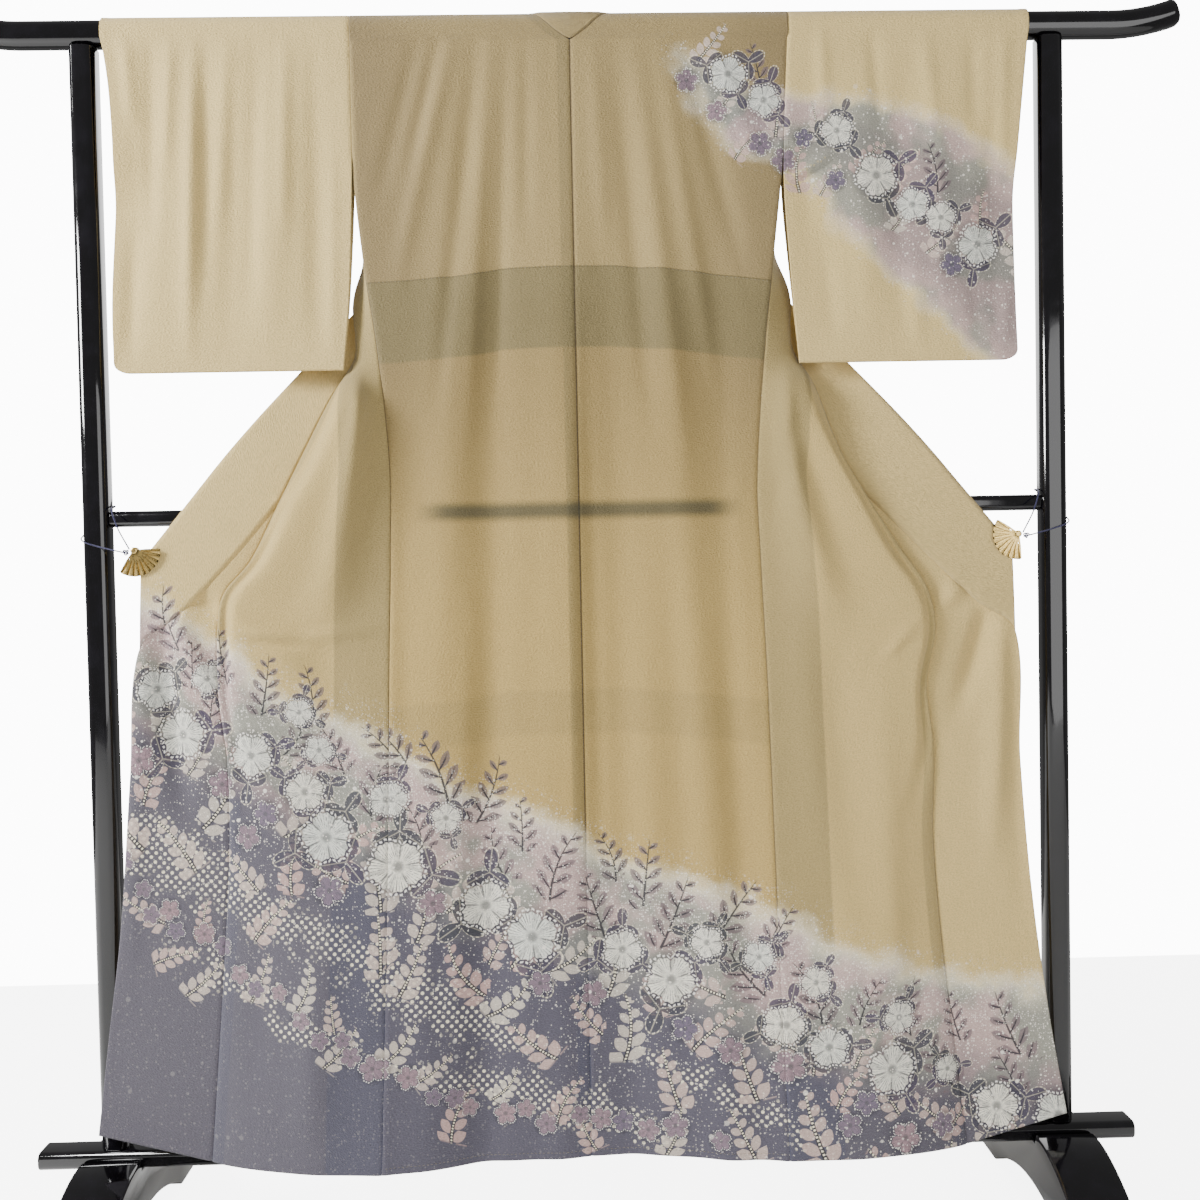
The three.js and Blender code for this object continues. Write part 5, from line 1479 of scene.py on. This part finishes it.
class KIMONO_OT_stage(bpy.types.Operator):
    """Add the pale floor and soft studio light"""

    bl_idname = "kimono.stage"
    bl_label = "Floor and light"

    def execute(self, context):
        mesh = bpy.data.meshes.new("floor")
        corners = [(-2.2, -2.6, 0), (2.2, -2.6, 0), (2.2, 1.1, 0), (-2.2, 1.1, 0)]
        mesh.from_pydata(corners, [], [(0, 1, 2, 3)])
        floor = link_mesh("floor", mesh)
        material, tree, output = new_material("pale_floor")
        glow = add(tree, "MapRange", add(tree, "LightPath").outputs["Is Camera Ray"], 0.0, 1.0, 0.0, 6.0)
        shader = add(tree, "BsdfPrincipled", Base_Color=linear("f7f7f6"), Roughness=0.55,
                     Emission_Color=(1.0, 1.0, 1.0, 1.0), Emission_Strength=glow)
        tree.links.new(shader.outputs[0], output.inputs["Surface"])
        mesh.materials.append(material)
        for name, spot, aim, size, power in (
            ("key", (-2.9, -1.25, 2.3), (0, 0, 1.0), 1.0, 230),
            ("fill", (1.2, -3.0, 1.2), (0, 0, 0.9), 2.6, 62),
            ("back", (0.4, 2.6, 2.4), (0, 0, 1.0), 2.4, 60),
        ):
            data = bpy.data.lights.new(name, "AREA")
            data.shape, data.size, data.energy = "SQUARE", size, power
            lamp = bpy.data.objects.new(name, data)
            lamp.location = spot
            lamp.rotation_euler = (Vector(aim) - Vector(spot)).to_track_quat("-Z", "Y").to_euler()
            context.scene.collection.objects.link(lamp)
        world = bpy.data.worlds.new("studio")
        world.use_nodes = True
        tree = world.node_tree
        tree.nodes.clear()
        path = add(tree, "LightPath")
        seen = add(tree, "MapRange", path.outputs["Is Camera Ray"], 0.0, 1.0, 0.22, 12.0)
        sky = add(tree, "Background", Color=(1.0, 1.0, 1.0), Strength=seen)
        out = add(tree, "OutputWorld")
        tree.links.new(sky.outputs[0], out.inputs["Surface"])
        context.scene.world = world
        return {"FINISHED"}


# Route of the cord, in millimetres, from the clip's pin round the post above the rail and back.
CORD_ROUTE = [
    (621, -34, 979), (638, -28, 1008), (650, -17, 1034), (655, 0, 1040), (656, 14, 1041),
    (664, 21, 1038), (676, 21.5, 1030), (688, 20, 1019), (695, 12, 1009), (695.5, 0, 1001),
    (695, -12, 995), (687, -20.5, 990), (672, -23, 985), (648, -29, 979), (622, -34.5, 973),
]
KNOT_PLACE, KNOT_SIZE = (625, -36.2, 975), 1.25


def flowing(points, steps):
    """A centripetal Catmull-Rom curve through places."""
    points = np.array(points, float)
    padded = np.concatenate([[2 * points[0] - points[1]], points, [2 * points[-1] - points[-2]]])
    made = []
    for k in range(len(points) - 1):
        p = padded[k:k + 4]
        t = np.concatenate([[0], np.cumsum(np.linalg.norm(np.diff(p, axis=0), axis=1) ** 0.5)])
        for at in np.linspace(t[1], t[2], steps, endpoint=False):
            a = [mix(p[i], p[i + 1], (at - t[i]) / (t[i + 1] - t[i])) for i in range(3)]
            b = [mix(a[i], a[i + 1], (at - t[i]) / (t[i + 2] - t[i])) for i in range(2)]
            made.append(mix(b[0], b[1], (at - t[1]) / (t[2] - t[1])))
    return np.array(made + [points[-1]])


def tube_curve(name, points, radius, closed=False):
    """A round cord along places in millimetres, as a curve of one spline."""
    data = bpy.data.curves.new(name, "CURVE")
    data.dimensions, data.bevel_depth, data.bevel_resolution = "3D", radius, 2
    data.use_fill_caps = True
    spline = data.splines.new("POLY")
    spline.points.add(len(points) - 1)
    spline.use_cyclic_u = closed
    spline.points.foreach_set("co", np.c_[np.array(points) / 1000, np.ones(len(points))].ravel())
    piece = bpy.data.objects.new(name, data)
    bpy.context.scene.collection.objects.link(piece)
    return piece


class KIMONO_OT_cords(bpy.types.Operator):
    """Tie each clip to its post with a thin cord and a small knot"""

    bl_idname = "kimono.cords"
    bl_label = "Clip cords"

    def execute(self, context):
        fittings = context.scene.kimono_fittings
        # the second colour is the painted shade between the cord's strands
        material = spun_cord("plied_silk_cord", fittings.braid, linear("0b0930"))
        for side, name in NAMES.items():
            route = np.array(CORD_ROUTE) * (side, 1, 1)
            cord = tube_curve(f"cord_{name}", flowing(route, 8), fittings.cord / 2)
            cord.data.materials.append(material)
            t = np.linspace(0, 2 * math.pi, 60, endpoint=False)
            loops = np.stack([
                np.sin(t) + 2 * np.sin(2 * t), -np.sin(3 * t), np.cos(t) - 2 * np.cos(2 * t),
            ], 1)
            loops = loops * KNOT_SIZE + (side * KNOT_PLACE[0], *KNOT_PLACE[1:])
            knot = tube_curve(f"cord_knot_{name}", loops, fittings.cord * 0.45, True)
            knot.data.materials.append(material)
            mesh = bpy.data.meshes.new_from_object(knot)
            bpy.data.objects.remove(knot)
            knot = link_mesh(f"cord_knot_{name}", mesh)
            for piece in (cord, knot):
                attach(piece, "root")
            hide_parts(f"clip_cord_{name}")
        return {"FINISHED"}


class KIMONO_OT_body(bpy.types.Operator):
    """Hang the two body panels over the rod"""

    bl_idname = "kimono.body"
    bl_label = "Body panels"

    def execute(self, context):
        motifs = lay_out_motifs()
        MATERIALS["silk"] = silk_crepe(context.scene.kimono_cloth)
        for side in NAMES:
            body_panel(context, side, motifs, MATERIALS["silk"])
        return {"FINISHED"}


class KIMONO_OT_overlaps(bpy.types.Operator):
    """Add the overlap panel to each front edge"""

    bl_idname = "kimono.overlaps"
    bl_label = "Overlap panels"

    def execute(self, context):
        motifs = lay_out_motifs()
        for side in NAMES:
            overlap_panel(context, side, motifs, MATERIALS["silk"])
        return {"FINISHED"}


class KIMONO_OT_collar(bpy.types.Operator):
    """Sew the collar band round the neck and down both fronts"""

    bl_idname = "kimono.collar"
    bl_label = "Collar"

    def execute(self, context):
        collar_band(context, lay_out_motifs(), MATERIALS["silk"])
        return {"FINISHED"}


class KIMONO_OT_sleeves(bpy.types.Operator):
    """Hang both sleeves over the rod"""

    bl_idname = "kimono.sleeves"
    bl_label = "Sleeves"

    def execute(self, context):
        motifs = lay_out_motifs()
        for side in NAMES:
            sleeve(context, side, motifs, MATERIALS["silk"])
        return {"FINISHED"}


class KIMONO_OT_stitches(bpy.types.Operator):
    """Sew the running stitches of the waist tuck and of the back hem"""

    bl_idname = "kimono.stitches"
    bl_label = "Stitches"

    def execute(self, context):
        fittings, cloth = context.scene.kimono_fittings, context.scene.kimono_cloth
        out = cloth.thickness * 500 + 0.12
        lines = []
        for side in NAMES:
            u = np.linspace(0.02, 0.98, 60)
            x = side * u * 290
            z = np.interp(x, TUCK_LINE["x"], TUCK_LINE["z"])
            lines.append(back_points(side, z, u) - (0, out, 0))
            hem = back_points(side, np.full(60, HEM_Z + 9.0), u)
            lines.append(hem - (0, out + 0.4, 0))
        guide = guide_line("stitches_body", lines)
        # the second colour is the painted shade between the thread's strands
        tree = stitch_tree(spun_cord("silk_sewing_thread", fittings.thread, linear("6f684f")))
        run_tree(guide, tree, {
            "Length": fittings.stitch, "Spacing": fittings.stitch_gap, "Thickness": THREAD_THICKNESS,
        })
        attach(guide, "root")
        return {"FINISHED"}


CLIP_RADIUS = 36.0
CLIP_ANGLES = {-1: (-123.0, 2.0), 1: (146.0, 275.0)}
CLIP_FRONT, CLIP_REAR = CLIP_LOW[1], CLIP_HIGH[1]


def fan_leaf(name, first, last, folds, radius, inner, y, pleat, thick):
    """A pleated metal leaf between two angles, as a closed plate."""
    angles = np.radians(np.linspace(first, last, 2 * folds + 1))
    radii = np.linspace(inner, radius, 7)
    zigzag = np.where(np.arange(2 * folds + 1) % 2, -pleat, 0.0)
    rim = np.where(np.arange(2 * folds + 1) % 2, 0.0, -0.25)
    grid = np.zeros((len(radii), len(angles), 3))
    for i, r in enumerate(radii):
        share = i / (len(radii) - 1)
        reach = r + rim * share
        grid[i, :, 0] = reach * np.cos(angles)
        grid[i, :, 1] = y + zigzag * (0.35 + 0.65 * share)
        grid[i, :, 2] = reach * np.sin(angles)
    rows, cols = grid.shape[:2]
    points = np.concatenate([grid.reshape(-1, 3), grid.reshape(-1, 3) + (0, thick, 0)]) / 1000
    mesh = bmesh.new()
    made = [mesh.verts.new(p) for p in points]
    for face in grid_faces(rows, cols):
        mesh.faces.new([made[k] for k in face])
    leaf = outward_mesh(name, mesh)
    groove = leaf.data.attributes.new("groove", "FLOAT", "POINT")
    groove.data.foreach_set("value", np.tile(np.arange(cols) % 2 == 0, 2 * rows).astype(np.float32))
    return leaf


def fan_stick(name):
    """One stick along +X: narrow at the pin, wider and rounded where it meets the leaf."""
    outline = [(-2.4, 0.7), (0.0, 1.0), (9.0, 1.15), (17.0, 1.5), (33.5, 0.75), (35.0, 0.35)]
    loop = outline + [(x, -z) for x, z in outline[::-1]]
    mesh = bmesh.new()
    face = mesh.faces.new([mesh.verts.new((x / 1000, -0.0004, z / 1000)) for x, z in loop])
    moved = bmesh.ops.extrude_face_region(mesh, geom=[face])["geom"]
    verts = [v for v in moved if isinstance(v, bmesh.types.BMVert)]
    bmesh.ops.translate(mesh, verts=verts, vec=(0, 0.0008, 0))
    return outward_mesh(name, mesh)


def turned_pin(name, radius, y0, y1):
    """A domed pin along Y."""
    rings = [(0.0, y0), (0.55, y0 + 0.05), (0.85, y0 + 0.35), (1.0, y0 + 0.9), (1.0, y1 - 0.5)]
    rings += [(0.8, y1), (0.0, y1)]
    mesh = bmesh.new()
    count = 20
    loops = []
    for share, y in rings:
        if share == 0:
            loops.append([mesh.verts.new((0, y / 1000, 0))] * count)
            continue
        turn = np.linspace(0, 2 * math.pi, count, endpoint=False)
        loops.append([mesh.verts.new((share * radius * math.cos(a) / 1000, y / 1000,
                                      share * radius * math.sin(a) / 1000)) for a in turn])
    for low, high in zip(loops[:-1], loops[1:]):
        for k in range(count):
            corners = dict.fromkeys([low[k], low[(k + 1) % count], high[(k + 1) % count], high[k]])
            if len(corners) > 2:
                mesh.faces.new(list(corners))
    pin = outward_mesh(name, mesh)
    pin.data.shade_smooth()
    return pin


def merge_pieces(name, pieces):
    """One mesh from several, each with its own place in its vertices."""
    mesh = bmesh.new()
    for piece in pieces:
        mesh.from_mesh(piece.data)
    data = bpy.data.meshes.new(name)
    mesh.to_mesh(data)
    mesh.free()
    for piece in pieces:
        bpy.data.objects.remove(piece)
    return link_mesh(name, data)


class KIMONO_OT_clips(bpy.types.Operator):
    """Clip a small folding fan to each front edge"""

    bl_idname = "kimono.clips"
    bl_label = "Fan clips"

    def execute(self, context):
        fittings = context.scene.kimono_fittings
        material = polished_brass(fittings)
        tree = stick_tree(material)
        for side, name in NAMES.items():
            first, last = CLIP_ANGLES[side]
            sticks = fan_stick(f"fan_sticks_{name}")
            run_tree(sticks, tree, {
                "Count": fittings.sticks,
                "First angle": -math.radians(first), "Last angle": -math.radians(last),
            })
            sticks.data.transform(Matrix.Translation((0, (CLIP_FRONT + 0.2) / 1000, 0)))
            parts = [
                sticks,
                fan_leaf(f"leaf_{name}", first, last, fittings.sticks - 1, CLIP_RADIUS, 14.0,
                         CLIP_FRONT + 1.5, 1.0, 0.5),
                fan_leaf(f"jaw_{name}", first, last, 6, CLIP_RADIUS * 0.62, 4.0,
                         CLIP_REAR - 1.6, 0.3, 0.8),
                turned_pin(f"pin_{name}", 4.6, CLIP_FRONT - 0.9, CLIP_REAR),
            ]
            clip = merge_pieces(f"fan_clip_brass_{name}", parts)
            clip.data.transform(Matrix.Translation((side * CLIP_X / 1000, 0, CLIP_Z / 1000)))
            clip.data.materials.clear()
            clip.data.materials.append(material)
            for face in clip.data.polygons:
                face.material_index = 0
            stand_for(clip, f"fan_clip_{name}")
        return {"FINISHED"}


class KIMONO_OT_stand(bpy.types.Operator):
    """Build the lacquered stand: rod, posts, rail, plank and feet"""

    bl_idname = "kimono.stand"
    bl_label = "Stand"

    def execute(self, context):
        lacquer = black_lacquer(context.scene.kimono_fittings)
        bar("stand_rod_lacquered", rounded_section(ROD_SIZE, ROD_SIZE, ROD_ROUND, 9), rod_stations(),
            lacquer, "stand_rod")
        post = rounded_section(POST_SIZE, POST_SIZE, POST_ROUND, 8)
        for side, name in NAMES.items():
            bar(f"stand_post_lacquered_{name}", post,
                straight_stations((side * POST_X, 0, POST_LOW[2]), (side * POST_X, 0, POST_HIGH[2]),
                                  (1, 0, 0), (0, 1, 0)), lacquer, f"stand_post_{name}")
            foot(side, lacquer)
        bar("stand_rail_lacquered", rounded_section(RAIL_SIZE, RAIL_SIZE, RAIL_ROUND, 7),
            straight_stations((RAIL_LOW[0], 0, RAIL_Z), (RAIL_HIGH[0], 0, RAIL_Z), (0, -1, 0), (0, 0, 1)),
            lacquer, "stand_rail")
        plank_z = (PLANK_LOW[2] + PLANK_HIGH[2]) / 2
        bar("stand_plank_lacquered",
            rounded_section(PLANK_HIGH[1] - PLANK_LOW[1], PLANK_HIGH[2] - PLANK_LOW[2], PLANK_ROUND, 7),
            straight_stations((PLANK_LOW[0], 0, plank_z), (PLANK_HIGH[0], 0, plank_z),
                              (0, -1, 0), (0, 0, 1)),
            lacquer, "stand_plank")
        return {"FINISHED"}


class KIMONO_PT_panel(bpy.types.Panel):
    """Buttons for each part of the kimono and its stand"""

    bl_label = "Kimono"
    bl_idname = "KIMONO_PT_panel"
    bl_space_type = "VIEW_3D"
    bl_region_type = "UI"
    bl_category = "Kimono"

    def draw(self, context):
        for group in (context.scene.kimono_cloth, context.scene.kimono_fittings):
            column_ = self.layout.column(align=True)
            for name in group.__annotations__:
                column_.prop(group, name)
        for operator in OPERATORS:
            self.layout.operator(operator.bl_idname)


# Order of making: the camera and the cords first, then the cloth, its sewing, clips and stand.
OPERATORS = (
    KIMONO_OT_camera, KIMONO_OT_cords, KIMONO_OT_body, KIMONO_OT_overlaps, KIMONO_OT_collar,
    KIMONO_OT_sleeves, KIMONO_OT_stitches, KIMONO_OT_clips, KIMONO_OT_stand, KIMONO_OT_stage,
)
CLASSES = (KimonoCloth, KimonoFittings, *OPERATORS, KIMONO_PT_panel)


def register():
    """Adds the classes and the two groups of settings."""
    for item in CLASSES:
        bpy.utils.register_class(item)
    bpy.types.Scene.kimono_cloth = bpy.props.PointerProperty(type=KimonoCloth)
    bpy.types.Scene.kimono_fittings = bpy.props.PointerProperty(type=KimonoFittings)


def unregister():
    """Takes them out again."""
    del bpy.types.Scene.kimono_fittings
    del bpy.types.Scene.kimono_cloth
    for item in reversed(CLASSES):
        bpy.utils.unregister_class(item)


def main():
    register()
    for operator in OPERATORS:
        group, name = operator.bl_idname.split(".")
        getattr(getattr(bpy.ops, group), name)()


if __name__ == "__main__":
    main()
